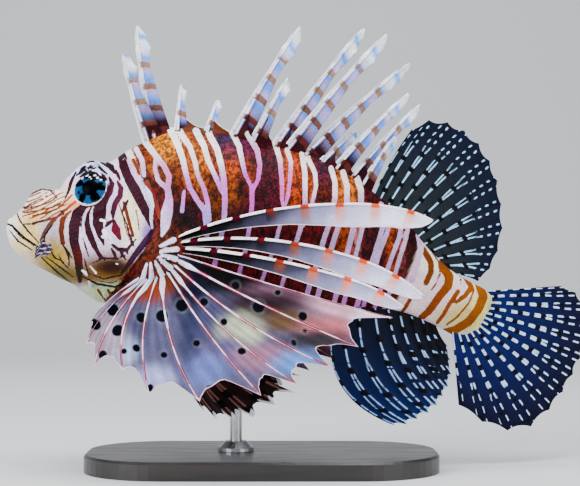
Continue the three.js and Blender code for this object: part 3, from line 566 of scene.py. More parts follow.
# Ground colours of the trunk, tail base and head: the general one, then patches.
TRUNK_GROUND = (124, 34, 26), [
    (300, 230, 130, 90, 120, 28, 34), (166, 150, 17, 18, 226, 140, 10), (176, 174, 8, 16, 138, 62, 12),
    (145, 154, 9, 12, 150, 66, 14), (162, 172, 4, 12, 134, 70, 16), (180, 196, 12, 10, 112, 40, 16),
    (190, 160, 7, 22, 184, 88, 8), (202, 164, 7, 22, 206, 114, 6), (212, 166, 6, 22, 180, 82, 20),
    (214, 198, 7, 26, 128, 62, 14), (186, 208, 12, 8, 84, 22, 28), (185, 225, 14, 12, 34, 16, 40),
    (227, 142, 13, 9, 72, 34, 96), (230, 155, 9, 9, 140, 50, 66), (232, 174, 8, 12, 184, 82, 12),
    (232, 196, 9, 14, 150, 72, 36), (242, 188, 4, 12, 80, 30, 24), (238, 222, 12, 14, 84, 24, 34),
    (249, 146, 6, 9, 130, 30, 80), (251, 173, 6, 12, 150, 60, 14), (268, 175, 9, 70, 100, 20, 40),
    (286, 174, 4, 26, 184, 82, 6), (297, 176, 6, 34, 184, 74, 8), (311, 182, 4, 22, 184, 82, 8),
    (325, 172, 8, 16, 108, 24, 72), (325, 200, 7, 18, 120, 40, 26), (341, 186, 4, 18, 204, 110, 10),
    (353, 186, 4, 20, 204, 112, 8), (344, 240, 8, 24, 168, 70, 16), (357, 234, 3, 20, 200, 120, 110),
    (373, 234, 8, 44, 100, 24, 30), (392, 240, 5, 26, 176, 74, 16), (403, 240, 3, 22, 190, 96, 90),
    (413, 246, 6, 28, 84, 22, 22), (164, 256, 24, 24, 126, 52, 32),
]
TAIL_GROUND = (250, 226, 232), [
    (440, 300, 22, 20, 244, 218, 226), (470, 318, 26, 14, 226, 206, 150),
    (450, 262, 40, 9, 250, 244, 226), (488, 312, 10, 40, 244, 232, 160),
]
HEAD_GROUND = (232, 216, 246), [
    (24, 236, 26, 20, 240, 220, 176), (36, 202, 28, 14, 250, 234, 222), (10, 230, 7, 9, 246, 246, 240),
    (56, 196, 18, 14, 254, 226, 210), (45, 217, 16, 8, 244, 196, 140), (36, 232, 12, 10, 238, 206, 140),
    (54, 232, 12, 14, 206, 196, 214), (92, 168, 18, 7, 214, 220, 250), (54, 258, 18, 16, 196, 164, 92),
    (66, 276, 24, 8, 152, 142, 84), (110, 272, 34, 17, 138, 96, 48), (112, 267, 13, 6, 74, 34, 22),
    (112, 295, 28, 9, 190, 214, 170), (130, 218, 10, 24, 252, 240, 208), (80, 204, 10, 6, 250, 170, 130),
    (133, 164, 12, 12, 250, 222, 210), (150, 236, 7, 12, 150, 116, 190),
]
# Colours of each kind of mark on the skin.
MARK_TINTS = {
    "pale": ((208, 128, 214), [
        (205, 142, 60, 22, 255, 248, 238), (260, 140, 40, 16, 252, 236, 244),
        (340, 168, 60, 24, 254, 240, 240), (420, 250, 22, 26, 240, 214, 226),
        (255, 190, 12, 40, 206, 100, 200), (284, 190, 12, 24, 218, 112, 196),
        (162, 176, 10, 12, 216, 120, 190), (150, 205, 10, 24, 196, 206, 246),
        (200, 226, 30, 14, 166, 150, 226), (100, 250, 50, 60, 250, 246, 255),
        (165, 262, 26, 26, 226, 226, 255), (340, 250, 70, 34, 206, 176, 222),
    ]),
    "rust": ((160, 80, 24), [
        (448, 278, 10, 12, 158, 88, 10), (484, 300, 16, 22, 170, 98, 6), (460, 330, 22, 10, 160, 92, 12),
        (428, 266, 6, 14, 140, 76, 14), (72, 203, 8, 4, 210, 84, 34), (56, 215, 8, 6, 150, 56, 22),
        (45, 232, 10, 12, 108, 76, 64), (40, 208, 18, 8, 132, 72, 34), (62, 233, 6, 12, 118, 48, 14),
        (112, 296, 24, 9, 128, 78, 22), (153, 200, 10, 20, 140, 56, 50), (129, 220, 9, 22, 128, 54, 30),
        (136, 168, 6, 12, 140, 70, 20),
    ]),
    "dark": ((78, 14, 42), [
        (79, 266, 8, 12, 140, 28, 10), (118, 231, 7, 8, 130, 16, 50), (110, 268, 14, 10, 74, 28, 20),
        (100, 280, 50, 12, 56, 34, 20), (35, 198, 26, 10, 92, 60, 70), (28, 242, 26, 14, 30, 22, 50),
        (58, 268, 22, 16, 52, 42, 20), (118, 195, 6, 16, 104, 26, 66), (144, 244, 14, 16, 84, 30, 84),
        (92, 170, 16, 8, 14, 12, 36),
    ]),
}
# The edge where the trunk ends and the pale tail base starts, from its top down.
TAIL_EDGE_U, TAIL_EDGE_V = (424, 414, 398, 392), (232, 262, 300, 330)
# Where the rays of the pectoral fin spring from the flank: stripes run out from here.
FIN_ROOT = (150, 251)
ROOT_START = 0.4
ROOT_WIDTHS = (1.2, 2.2, 2.9)
ROOT_RIDGE = 0.9
# Streaks of the snout: slope, distance between them, half width and the field that they fill.
STREAKS = SimpleNamespace(slope=0.45, apart=4.4, half=0.72, u=(22, 68), v=(192, 219))
# The skin has fine steps along the head and the end of the tail base, and coarse ones between.
TRUNK_FROM, TRUNK_TO = -66.0, 84.0
SKIN_TURNS = 260


def past_tail_edge(u, v):
    return u - np.interp(v, TAIL_EDGE_V, TAIL_EDGE_U)


def skin_ground(u, v, x, z):
    trunk, tail, head = (patches(u, v, *tones) for tones in (TRUNK_GROUND, TAIL_GROUND, HEAD_GROUND))
    ground = blend(past_tail_edge(u, v) / 3 + 0.5, trunk, tail)
    return np.where((behind_gill(x, z) < 1)[..., None], head, ground)


def root_stripes(u, v):
    """Pale ridges that run out to the roots of the pectoral rays, as a signed distance."""
    roots = np.array([[x, -PECTORAL_OUT, z] for x, z, *_ in PECTORAL[::2]])
    ends = np.stack(side_view(roots), -1)
    starts = np.array(FIN_ROOT) + ROOT_START * (ends - FIN_ROOT)
    return line_field(u, v, [(pair, *ROOT_WIDTHS) for pair in zip(starts, ends)])


def snout_lines(u, v):
    """Fine streaks that run forward over the snout, as a signed distance."""
    across = v + STREAKS.slope * u + 1.5 * np.sin(u * 0.13)
    lines = STREAKS.half - np.abs(np.mod(across, STREAKS.apart) - STREAKS.apart / 2)
    edges = (u - STREAKS.u[0], STREAKS.u[1] - u, v - STREAKS.v[0], STREAKS.v[1] - v)
    return np.minimum(lines, np.min(edges, axis=0)) * VIEW_STEP


def skin():
    stations = np.concatenate([
        np.arange(SNOUT_X, TRUNK_FROM, 0.4), np.arange(TRUNK_FROM, TRUNK_TO, 1.0),
        np.arange(TRUNK_TO, TAIL_X + 0.01, 0.6),
    ])
    turns = np.linspace(0, 360, SKIN_TURNS, endpoint=False)
    x, turn = np.meshgrid(stations, turns, indexing="ij")
    plain = body_point(x, turn)
    z = plain[..., 2]
    ridges = np.clip(root_stripes(*side_view(plain)) + 0.7, 0, 1) * (behind_gill(x, z) > 1)
    points = with_ends(body_point(x, turn, head_relief(x, turn, z) + ROOT_RIDGE * ridges))
    x, z = points[:, 0], points[:, 2]
    u, v = side_view(points)
    on_trunk = behind_gill(x, z) > 0.5
    marks = {
        "pale": np.maximum(line_field(u, v, HEAD_PALE + TRUNK_LINES),
                           np.where(on_trunk, root_stripes(u, v), FAR)),
        "rust": np.maximum(line_field(u, v, RUST_BARS), snout_lines(u, v)),
        "dark": np.maximum(line_field(u, v, HEAD_STRIPES), 0.5 - mouth_distance(x, z)),
    }
    tints = {kind: patches(u, v, *MARK_TINTS[kind]) for kind in KINDS}
    material = marked("fish_skin", wobble=0.7, mottle=0.8, scales=0.0003, roughness=0.5, coat=0.05)
    piece = make_piece("skin", points, ring_faces(*turn.shape), material,
                       skin_ground(u, v, x, z), marks, tints)
    # Dark flecks cover the trunk, stop at the tail base and are faint on the head.
    flecked = np.where(on_trunk, np.clip(-past_tail_edge(u, v) / 8, 0.05, 1), 0.12)
    paint(piece.data, "flecked", flecked, 1)
    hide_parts("head", "lower_jaw", "torso", "tail_stalk")


def turned(points, upwards, forwards):
    """Points turned about the X axis and then about the upright axis."""
    a, b = math.radians(upwards), math.radians(forwards)
    about_x = np.array([[1, 0, 0], [0, math.cos(a), -math.sin(a)], [0, math.sin(a), math.cos(a)]])
    about_z = np.array([[math.cos(b), -math.sin(b), 0], [math.sin(b), math.cos(b), 0], [0, 0, 1]])
    return points @ about_x.T @ about_z.T


def eye(side, name):
    """A ball sunk into the head: a dark pupil with spokes, a dark lid, and white flecks."""
    swing, around = np.meshgrid(
        np.linspace(0.01, math.pi - 0.01, EYE.rings),
        np.arange(EYE.sides) * 2 * math.pi / EYE.sides, indexing="ij",
    )
    r, out = np.sin(swing), np.cos(swing) * (1 + 0.05 * bell(swing / 0.5))
    ball = with_ends(np.stack([
        EYE.wide * r * np.cos(around), side * EYE.deep * out, EYE.wide * r * np.sin(around),
    ], -1))
    x, y, z = ball.T
    front = y * side > 0
    away = np.hypot(x, z)
    across, up = x - 0.9, z + 0.3
    angle = np.arctan2(up, across)
    spokes = 0.9 * np.sin(5 * angle + 0.4) + 0.5 * np.sin(9 * angle + 2)
    pupil = EYE.pupil - np.hypot(across, up)
    blotches = 0.6 * spokes - 0.25 * np.abs(away - 5.6) + 0.3
    lid = (up - 5) * 0.9 + 0.5 * np.sin(2.1 * x + 1)
    rim = 0.45 - np.abs(away - EYE.rim) - np.clip(up - 2, 0, 4)
    flecks = [radius - np.hypot(x - fx, up - fz) for fx, fz, radius in EYE_FLECKS]
    marks = {
        "dark": np.where(front, np.max([pupil, blotches, lid], axis=0), FAR),
        "pale": np.where(front, np.max([rim, *flecks], axis=0), FAR),
    }
    ground = blend(bell(away / EYE.iris), colour(56, 108, 156), colour(10, 44, 96))
    sunk, upwards = EYE.deep - EYE.proud, math.radians(EYE.upwards)
    outwards = -flank_point(EYE.x, EYE.z)[1] - sunk * math.cos(upwards)
    points = turned(ball, side * EYE.upwards, side * EYE.forwards)
    points += [EYE.x, side * outwards, EYE.z - sunk * math.sin(upwards)]
    material = marked(name + "_wet", wobble=1.1, roughness=0.3, soft=0.15, speckle=0.2, coat=0.0,
                      shine=0.01)
    piece = make_piece(name + "_ball", points, ring_faces(EYE.rings, EYE.sides), material, ground,
                       marks, {"pale": colour(246, 240, 250), "dark": colour(5, 8, 22)})
    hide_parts(name)


def heading(angle):
    return np.array([math.cos(math.radians(angle)), 0, math.sin(math.radians(angle))])


def ray(root, length, angle, aside, bow, outward=0.0):
    """The root, the bend and the tip of a curved ray."""
    tip = root + heading(angle) * length
    tip[1] += aside
    bend = (root + tip) / 2 + heading(angle + 90) * bow
    bend[1] += outward
    return np.array([root, bend, tip])


def curve(rays, reach):
    """The point of each ray at a share of its length."""
    q = 1 - reach
    shares = np.stack([q * q, 2 * q * reach, reach * reach], -1)
    return (rays * shares[..., None]).sum(-2)


def run_along(points):
    """Distance along lines of points, from the first point of each."""
    step = np.linalg.norm(np.diff(points, axis=-2), axis=-1)
    return np.concatenate([np.zeros(step.shape[:-1] + (1,)), np.cumsum(step, -1)], -1)


def fan_grid(rays, dip, per_ray=10, rows=100, ragged=0.0):
    """Points of a fan of rays, whose edge dips between them, with measures at each point.

    They are s, the place from the first ray to the last, f, the share from one ray to the next,
    t, the share from root to edge, gap, the distance between the two rays, off, the distance
    from the nearest ray, ray, its number, and run and left, the distances to root and edge.
    """
    rays = np.array(rays)
    count = len(rays)
    s, t = np.meshgrid(np.linspace(0, count - 1, (count - 1) * per_ray + 1),
                       np.linspace(0, 1, rows + 1), indexing="ij")
    i = np.minimum(s.astype(int), count - 2)
    f = s - i
    frill, fine = (
        np.interp(s * steps, np.arange(count * steps + 1), random.uniform(-1, 1, count * steps + 1))
        for steps in (3, 9)
    )
    uneven = ragged * (frill + 0.6 * fine) * t**8 * (4 * f * (1 - f)) ** 0.5
    reach = t * (1 - 4 * dip * f * (1 - f)) * (1 + uneven)
    a, b = curve(rays[i], reach), curve(rays[i + 1], reach)
    gap = np.linalg.norm(a - b, axis=-1)
    grid = blend(f, a, b)
    run = run_along(grid)
    return SimpleNamespace(grid=grid, s=s, f=f, t=t, gap=gap, off=np.minimum(f, 1 - f) * gap,
                           ray=(i + np.round(f)).astype(int), run=run, left=run[:, -1:] - run)


def pulse(x, period, share):
    """Signed distance into evenly spaced stretches, each a share of the period long."""
    half = period * share / 2
    return half - np.abs((x + half) % period - half)


def fork(fan, start, spread):
    """Distance from the two branches into which each ray parts beyond its place called start."""
    apart = spread * fan.gap * np.clip((fan.t - start) / (0.8 - start), 0, 1)
    return np.abs(fan.off - apart)


# Half the thickness of the skin between rays, and how far rays and spines reach into the body.
WEB_HALF = 0.16
ROOT_DEPTH = 3.0


def fin(name, fan, near, node, material, ground, marks, tints, ridge=0.42, wave=0.0,
        flesh=0.0):
    """A soft fin from its fan: near is the distance from the ray branches, in millimetres."""
    t = fan.t
    grid = fan.grid + grid_normals(fan.grid) * (wave * t * np.sin(2.1 * fan.s))[..., None]
    billow = 0.05 * fan.gap * np.sin(math.pi * fan.f) * t
    grid = grid + grid_normals(grid) * billow[..., None]
    half = WEB_HALF + ridge * bell(near / 0.5) * (1 - 0.65 * t)
    half = half + flesh * bell(fan.run / 14) * bell(fan.off / (0.3 * fan.gap + 0.1))
    half = half * np.clip(fan.left / 1.2, 0.35, 1)
    points, faces = two_faced(grid, grid_normals(grid) * half[..., None])
    piece = make_piece(name, points, faces, material, ground, marks, tints)
    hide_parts(node)


# Rays of the soft dorsal fin: place along the back, length, heading.
SOFT_DORSAL = [
    (34.5, 37, 60), (37.5, 46.5, 58.5), (41, 51.5, 54.5), (44.5, 54, 50), (48.2, 54.5, 45.5),
    (52, 53, 40.5), (55.6, 50, 35), (59, 45, 27.5), (62.2, 39.5, 18), (65.5, 32, 8),
    (69, 24, -2), (74, 13.5, -12),
]
SOFT_DORSAL_BOW = 2.5
# Rays of the anal fin: place along the belly, length, bow.
ANAL = [
    (32, 63, -31), (38.5, 64, -27), (46, 62.5, -21), (54, 59, -15), (60.5, 54, -11),
    (66, 48, -9), (70.5, 41, -7), (74.5, 32, -5), (77.5, 22, -3), (80, 12.5, -2),
]
ANAL_HEADING = -64.0
# Rays of the tail fin, from the top: length, heading.
CAUDAL = [
    (33, 3), (42.5, 2), (50, -3), (53.5, -9), (55, -16), (55.5, -23), (56, -30), (56.5, -38),
    (57, -47), (57, -57), (51.5, -66), (41, -75), (28, -85),
]
# The line of roots of the tail fin: height of its top, its height in all, and how far it lies
# within the tail base in the middle and, besides, at the ends.
CAUDAL_TOP, CAUDAL_TALL = 11.5, 24.0
CAUDAL_INSET, CAUDAL_ARCH = 3.5, 7.0
MEDIAN_DIP = 0.03
INK = colour(3, 4, 10)


def median_ray(x, length, angle, bow, edge):
    """A ray in the middle plane, from the back or the belly."""
    up = up_at(np.float64(x)) * (1 if edge == BACK else -1)
    made = ray(body_point(x, edge) - up * ROOT_DEPTH, length + ROOT_DEPTH, angle, 0, bow)
    made[1:, 1] = lateral(made[1:, 0])
    return made


def caudal_ray(length, angle, share):
    up = up_at(np.float64(TAIL_X - 4))
    along = np.array([up[2], 0, -up[0]])
    inset = CAUDAL_INSET + CAUDAL_ARCH * (2 * share - 1) ** 2
    root = np.array([TAIL_X, 0, BODY[-1, HEIGHT]]) + up * (CAUDAL_TOP - CAUDAL_TALL * share)
    made = ray(root - along * inset, length + inset, angle, 0, 0)
    made[:, 1] = lateral(made[:, 0])
    return made


def along_rays(fan, root, margin):
    """A colour at the roots of a fan that turns into another at its edge."""
    return blend(fan.t, colour(*root), colour(*margin))


def soft_dorsal(material):
    """Pale ray branches with dark dots, and short dashes near the edge."""
    rays = [median_ray(x, long, angle, SOFT_DORSAL_BOW, BACK) for x, long, angle in SOFT_DORSAL]
    fan = fan_grid(rays, MEDIAN_DIP)
    near = fork(fan, 0.3, 0.2)
    outer = np.clip((fan.t - 0.7) * 20, 0, 1)
    jitter = (fan.ray * 0.37 % 1) * 3
    dot = pulse(fan.run + jitter * 2, 9.5, 0.26)
    lines = np.minimum(0.42 - near, -dot)
    dashes = np.minimum(0.5 - near, pulse(fan.left + jitter, 4.6, 0.5))
    marks = {
        "pale": np.where(outer > 0.5, dashes, lines),
        "dark": np.minimum(dot + 0.2, 1.6 - fan.off) * (1 - outer) + FAR * outer,
    }
    fin("dorsal_soft_fin", fan, near, "dorsal_fin_soft", material,
        along_rays(fan, (62, 74, 76), (10, 24, 70)), marks,
        {"pale": colour(176, 216, 255), "dark": INK})


def anal(material):
    """Pale ray branches that break up towards the rear, dark dots, and a pale margin."""
    fan = fan_grid([median_ray(x, long, ANAL_HEADING, bow, BELLY) for x, long, bow in ANAL],
                   MEDIAN_DIP)
    near = fork(fan, 0.35, 0.2)
    jitter = (fan.ray * 0.61 % 1) * 9
    rearward = fan.ray / fan.ray.max()
    dot = pulse(fan.run + jitter, 13, 0.25)
    broken = pulse(fan.run + 2 * jitter, 9, 0.95 - np.clip((rearward - 0.3) * 1.2, 0, 0.8))
    lines = np.min([0.46 - near, -dot, broken], axis=0)
    margin = np.minimum(0.9 - fan.left, 0.9 - near)
    marks = {"pale": np.maximum(lines, margin), "dark": np.minimum(dot, 1.7 - fan.off)}
    ground = blend(rearward * 1.6 - 0.3, along_rays(fan, (30, 34, 50), (20, 46, 118)),
                   along_rays(fan, (20, 24, 24), (20, 28, 54)))
    fin("anal_fin_web", fan, near, "anal_fin", material, ground, marks,
        {"pale": colour(168, 200, 246), "dark": colour(2, 3, 10)})


def caudal(material):
    """Pale dashes on the ray branches, broadest low down, and a few dark spots."""
    rays = [caudal_ray(*numbers, i / (len(CAUDAL) - 1)) for i, numbers in enumerate(CAUDAL)]
    fan = fan_grid(rays, MEDIAN_DIP, rows=110)
    near = fork(fan, 0.45, 0.22)
    along = fan.run + (fan.ray * 0.41 % 1) * 5
    broad = np.interp(fan.t, [0, 0.3, 0.5, 0.7, 1], [0.4, 0.85, 0.8, 0.5, 0.5])
    dashes = np.minimum(broad - near, pulse(along, 6.6, 0.58))
    marks = {
        "pale": np.where(fan.run < 7, 0.5 - near, dashes),
        "dark": np.minimum(1.3 - fan.off, pulse(along + 3.3, 13.2, 0.17)),
    }
    fin("caudal_fin_web", fan, near, "caudal_fin", material,
        along_rays(fan, (5, 36, 124), (16, 18, 66)), marks,
        {"pale": colour(210, 232, 255), "dark": INK})


# Dark spots of the pectoral fin in the side view: place and radius.
SPOTS = [
    (204, 302, 4), (224, 322, 3.6), (259, 307, 6), (303, 317, 4.5), (197, 344, 3.4),
    (242, 352, 4), (294, 343, 3), (164, 355, 3.4), (162, 316, 6), (141, 318, 5), (136, 349, 4),
    (113, 310, 6), (96, 325, 5), (118, 331, 6), (103, 355, 5), (92, 348, 3.5), (124, 352, 3),
    (182, 306, 6), (278, 293, 3), (236, 286, 4), (150, 388, 4), (210, 388, 4), (305, 331, 2.5),
]
# Colours of its web: the general one, then patches.
WEB_GROUND = (116, 112, 146), [
    (250, 282, 60, 13, 40, 34, 48), (292, 292, 34, 11, 140, 104, 124), (352, 304, 34, 13, 222, 172, 192),
    (212, 270, 42, 14, 14, 17, 25), (190, 296, 16, 22, 24, 34, 66), (264, 306, 34, 11, 74, 50, 62),
    (290, 322, 24, 9, 122, 96, 74), (333, 328, 26, 9, 190, 118, 126), (316, 340, 26, 7, 84, 78, 86),
    (376, 322, 18, 12, 240, 222, 240), (212, 322, 14, 18, 92, 92, 132), (240, 332, 17, 14, 196, 202, 176),
    (228, 354, 18, 14, 112, 104, 148), (264, 358, 24, 11, 170, 128, 152),
    (300, 364, 22, 10, 106, 146, 216), (206, 372, 18, 14, 112, 124, 186), (188, 334, 10, 22, 72, 76, 112),
    (162, 340, 14, 28, 108, 106, 142), (154, 380, 16, 12, 168, 172, 220), (134, 326, 12, 20, 96, 98, 132),
    (122, 352, 12, 12, 176, 186, 222), (104, 336, 16, 24, 176, 160, 180), (172, 276, 12, 12, 112, 54, 38),
    (152, 288, 14, 12, 150, 70, 46), (134, 290, 12, 10, 140, 66, 44),
]
PECTORAL_FAN = {"dip": 0.13, "per_ray": 14, "rows": 120}
RAGGED = 0.03
# The vane of a free ray: its width, how much narrower each next one is, how far the tip hooks
# down, and its colours at places from root to tip.
VANE_WIDE, VANE_LESS = 10.0, 1.5
TIP_HOOK = 4
VANE_PLACE = [0, 0.16, 0.34, 0.5, 0.72, 1]
VANE_TONES = [
    (16, 18, 26), (24, 28, 38), (88, 86, 110), (150, 150, 186), (214, 214, 242), (240, 244, 255),
]


def pectoral_ray(numbers, side, droop):
    x, z, length, angle, out, bow = numbers
    root = np.array([x, side * PECTORAL_OUT, z], float)
    return ray(root, length, angle - droop, side * out, bow, side * PECTORAL_BELLY)


def spot_field(u, v, grow=1.0):
    """Signed distance in millimetres into the nearest dark spot."""
    return np.max([radius * grow - np.hypot(u - su, v - sv) for su, sv, radius in SPOTS],
                  axis=0) * VIEW_STEP


def pectoral(side, name):
    """A fan with banded rays and a spotted web, and free rays above it."""
    droop = RIGHT_DROOP if side > 0 else 0.0
    rays = [pectoral_ray(numbers, side, droop) for numbers in PECTORAL]
    fan = fan_grid(rays[FREE_RAYS:], ragged=RAGGED, **PECTORAL_FAN)
    level = [pectoral_ray(numbers, -1, 0) for numbers in PECTORAL[FREE_RAYS:]]
    u, v = side_view(fan_grid(level, **PECTORAL_FAN).grid)
    width = 0.62 * (1 - 0.45 * fan.t)
    band = pulse(fan.run + fan.ray * 5.3, 21, 0.5) > 0
    inner = width - np.where(band, 0.34, 0.1) - fan.off
    margin = 0.45 - fan.left
    broad = np.where(fan.ray % 2 == 1, 2.6, 0.8)
    root = np.minimum(broad * (1 - fan.run / 18), 0.34 * fan.gap) - fan.off
    marks = {
        "rust": width + np.where(band, 0.3, 0.14) - fan.off - 3 * np.clip(0.12 - fan.t, 0, 1),
        "pale": np.max([inner, margin, root], axis=0),
        "dark": 0.4 * spot_field(u, v),
    }
    halo = np.clip(spot_field(u, v, 1.5) + 0.4, 0, 1) * 0.06
    # Painted shade: the web is made darker in three bands between each pair of rays, as shade in its
    # pleats, and stays lighter next to the rays.
    painted_pleat_shade = (0.86 + 0.14 * np.cos(fan.f * 6 * math.pi))[..., None]
    ground = blend(halo, patches(u, v, *WEB_GROUND), colour(206, 214, 226)) * painted_pleat_shade
    tints = {
        "pale": blend(3.4 * fan.t - 1, colour(226, 228, 255), colour(240, 206, 222)),
        "rust": colour(150, 50, 66), "dark": colour(8, 12, 34),
    }
    material = marked(name + "_skin", wobble=0.22, speckle=0.2, ripples=0.00008, soft=0.18,
                      roughness=0.55, coat=0.0, shine=0.02)
    fin(name + "_web", fan, fan.off, name, material, ground, marks, tints,
        ridge=0.6, wave=1.0, flesh=1.6)
    for number, free in enumerate(rays[:FREE_RAYS]):
        free_ray(f"{name}_ray_{number + 1}", free, side, number, material)


def vaned(at, behind, thick, lead, tail, ruffle):
    """A spine or free ray: a tapering shaft with a thin vane in front of and behind it.

    Besides its points and faces it gives measures at the points: t, the share from root to tip,
    run, the distance from the root, place, the distance across from the middle of the shaft,
    and share, that distance as a share of the vane.
    """
    t = np.linspace(0, 1, len(at))
    along = np.gradient(at, axis=0)
    along /= np.linalg.norm(along, axis=1, keepdims=True)
    out = behind - along * (along @ behind)[:, None]
    out /= np.linalg.norm(out, axis=1, keepdims=True)
    normal = np.cross(along, out)
    r = thick * (1 - 0.72 * t)
    front, rear = r + lead, r + tail
    place = np.concatenate([
        -front + np.outer(np.linspace(0, 1, 5)[:-1], front - r),
        np.outer([-1, -0.85, -0.5, 0, 0.5, 0.85, 1], r),
        r + np.outer(np.linspace(0, 1, 13)[1:], rear - r),
    ])
    share = np.where(place > 0, place / rear, place / front)
    sway = ruffle * np.sin(t * 34 + share * 1.5) * share**2 * t
    grid = at + out * place[..., None] + normal * sway[..., None]
    web = WEB_HALF * np.clip((1 - np.abs(share)) * 6 + 0.4, 0.4, 1)
    half = np.maximum(web, np.sqrt(np.clip(r**2 - place**2, 0, None)))
    points, faces = two_faced(grid, normal * half[..., None])
    t, run = (np.broadcast_to(values, place.shape) for values in (t, run_along(at)))
    return points, faces, SimpleNamespace(t=t, run=run, place=place, share=share)


def free_ray(name, bends, side, number, material):
    """A free ray, its vane dark at the root and pale at the tip, with rusty bands."""
    t = np.linspace(0, 1, 151)
    wide = VANE_WIDE - VANE_LESS * number
    at = curve(bends, t) - np.outer(np.clip((t - 0.78) / 0.22, 0, 1) ** 2, [0, 0, TIP_HOOK])
    teeth = 0.9 * np.abs(np.sin(42 * t)) * np.clip(t * 5 - 3.8, 0, 1)
    tail = 0.3 + wide * np.minimum(1, 1.5 * t) * (1 - t**14) ** 0.7 - teeth * (1 - t) ** 0.2
    points, faces, on = vaned(at, np.array([0, side * 0.25, -1.0]), 1.25, 0.35, tail, 0.7)
    band = pulse(on.run + 7 * number, 17, 0.24)
    edge = 1.1 - np.abs(on.place + 0.9)
    rim = 0.35 - (1 - on.share) * wide
    marks = {
        "rust": 0.5 * np.minimum(band, edge + 0.9) + FAR * (on.t > 0.95),
        "pale": np.maximum(np.minimum(-band, edge), rim),
    }
    reach = on.t * (1 - 0.12 * number) - 0.1 * (1 - np.abs(on.share))
    tones = np.array([colour(*tone) for tone in VANE_TONES])
    base = np.stack([np.interp(reach, VANE_PLACE, channel) for channel in tones.T], -1)
    blotch = 0.7 * np.clip(0.8 + band / 2.6, 0, 1) * np.clip(1.1 - on.share**2, 0, 1)
    blotches = blend(2.4 * on.t - 0.9, colour(22, 24, 36), colour(240, 140, 104))
    tints = {
        "pale": colour(255, 240, 244),
        "rust": blend(2.2 * on.t - 0.7, colour(96, 18, 38), colour(226, 96, 66)),
    }
    piece = make_piece(name, points, faces, material, blend(blotch, base, blotches), marks, tints)


# Rays of the pelvic fin: x and z of the root, length, heading, how far the tip stands out.
PELVIC = [
    (-68.5, 78, 56, -61, 19), (-67.5, 77, 61, -58, 21), (-66, 76, 65, -52, 21),
    (-64.5, 75.5, 67.5, -46, 19), (-63, 75, 70, -37, 16), (-61.5, 75, 74, -30, 12),
]
# How far out the first root lies, how much further each next one, how far the roots lie within
# the body, and the bow of the rays.
PELVIC_OUT, PELVIC_STEP = 9.0, 0.8
PELVIC_DEPTH = 2.0
PELVIC_BOW = -5.0


def pelvic(side, name):
    """Dark spots on the rays, and pale tips between them."""
    sweep = RIGHT_DROOP / 2 if side > 0 else 0.0
    rays = []
    for i, (x, z, length, angle, out) in enumerate(PELVIC):
        root = np.array([x, side * (PELVIC_OUT + PELVIC_STEP * i), z + PELVIC_DEPTH], float)
        rays.append(ray(root, length, angle + sweep, side * out, PELVIC_BOW))
    fan = fan_grid(rays, 0.09, per_ray=14, ragged=RAGGED)
    near = fork(fan, 0.5, 0.15)
    spot = pulse(fan.run + fan.ray * 4.1, 13, 0.4)
    marks = {
        "dark": np.minimum(spot, 0.35 * fan.gap - fan.off),
        "pale": np.minimum(2.6 - fan.left, 0.24 * fan.gap - fan.off),
        "rust": 0.5 - near,
    }
    tints = {
        "pale": colour(214, 210, 220), "rust": colour(142, 96, 92), "dark": colour(10, 8, 14),
    }
    material = marked(name + "_skin", wobble=0.5, speckle=0.3, ripples=0.00008)
    fin(name + "_web", fan, near, name, material,
        along_rays(fan, (84, 40, 28), (52, 40, 40)), marks, tints, wave=0.8, flesh=1.0)


# Spines of the back: place, length, heading, lean to the side, width of the vane.
SPINES = [
    (-70.5, 44, 106, -10, 5.5), (-67.5, 57.5, 100, 9, 6), (-56.5, 24, 88, 22, 3),
    (-42.5, 17, 75, 26, 3), (-29.5, 63, 59, -8, 5.6), (-20.5, 35, 61, -20, 4),
    (-9.5, 75, 54, 9, 4.8), (-4, 75, 49.5, -7, 5), (3.5, 70, 42, 8, 4.6), (11.5, 23, 45, 22, 4),
    (17.5, 51, 46.5, -9, 3.8), (24.5, 50, 47.5, 6, 3.6), (29.5, 29, 57, 2, 3.2),
]
# Share of the vane's full width at places along a spine: broad low down and short of the tip.
VANE_PLACES = [0, 0.12, 0.3, 0.48, 0.62, 0.7, 0.8, 0.88, 0.95, 1]
VANE_SHARES = [1.15, 1.1, 0.9, 0.72, 0.5, 0.55, 0.85, 0.8, 0.5, 0.02]
SPINE_RADIUS = 1.35
SPINE_LEAD = 0.32
SPINE_SWEEP = 0.07
# The dark foot of a spine: its greatest height, and its share of a short spine.
FOOT_TALL, FOOT_SHARE = 13.0, 0.3
# The web between the spines: steps from one to the next, rows of points, height at its lowest,
# how far it rises behind a spine and at most what share of it, the number of the spine where
# its pale edge ends, and its colours.
WEB_STEPS, WEB_ROWS = 24, 14
WEB_LOW, WEB_RISE, WEB_SHARE = 2.0, 13.0, 0.38
WEB_EDGE_END = 4
SPINE_WEB_GROUND = (80, 20, 32), [
    (200, 130, 30, 10, 120, 60, 34), (150, 120, 14, 20, 96, 34, 34),
]


def leaning(angle, lean):
    """A heading that leans to the fish's right."""
    way = heading(angle) * math.cos(math.radians(lean))
    way[1] = math.sin(math.radians(lean))
    return way


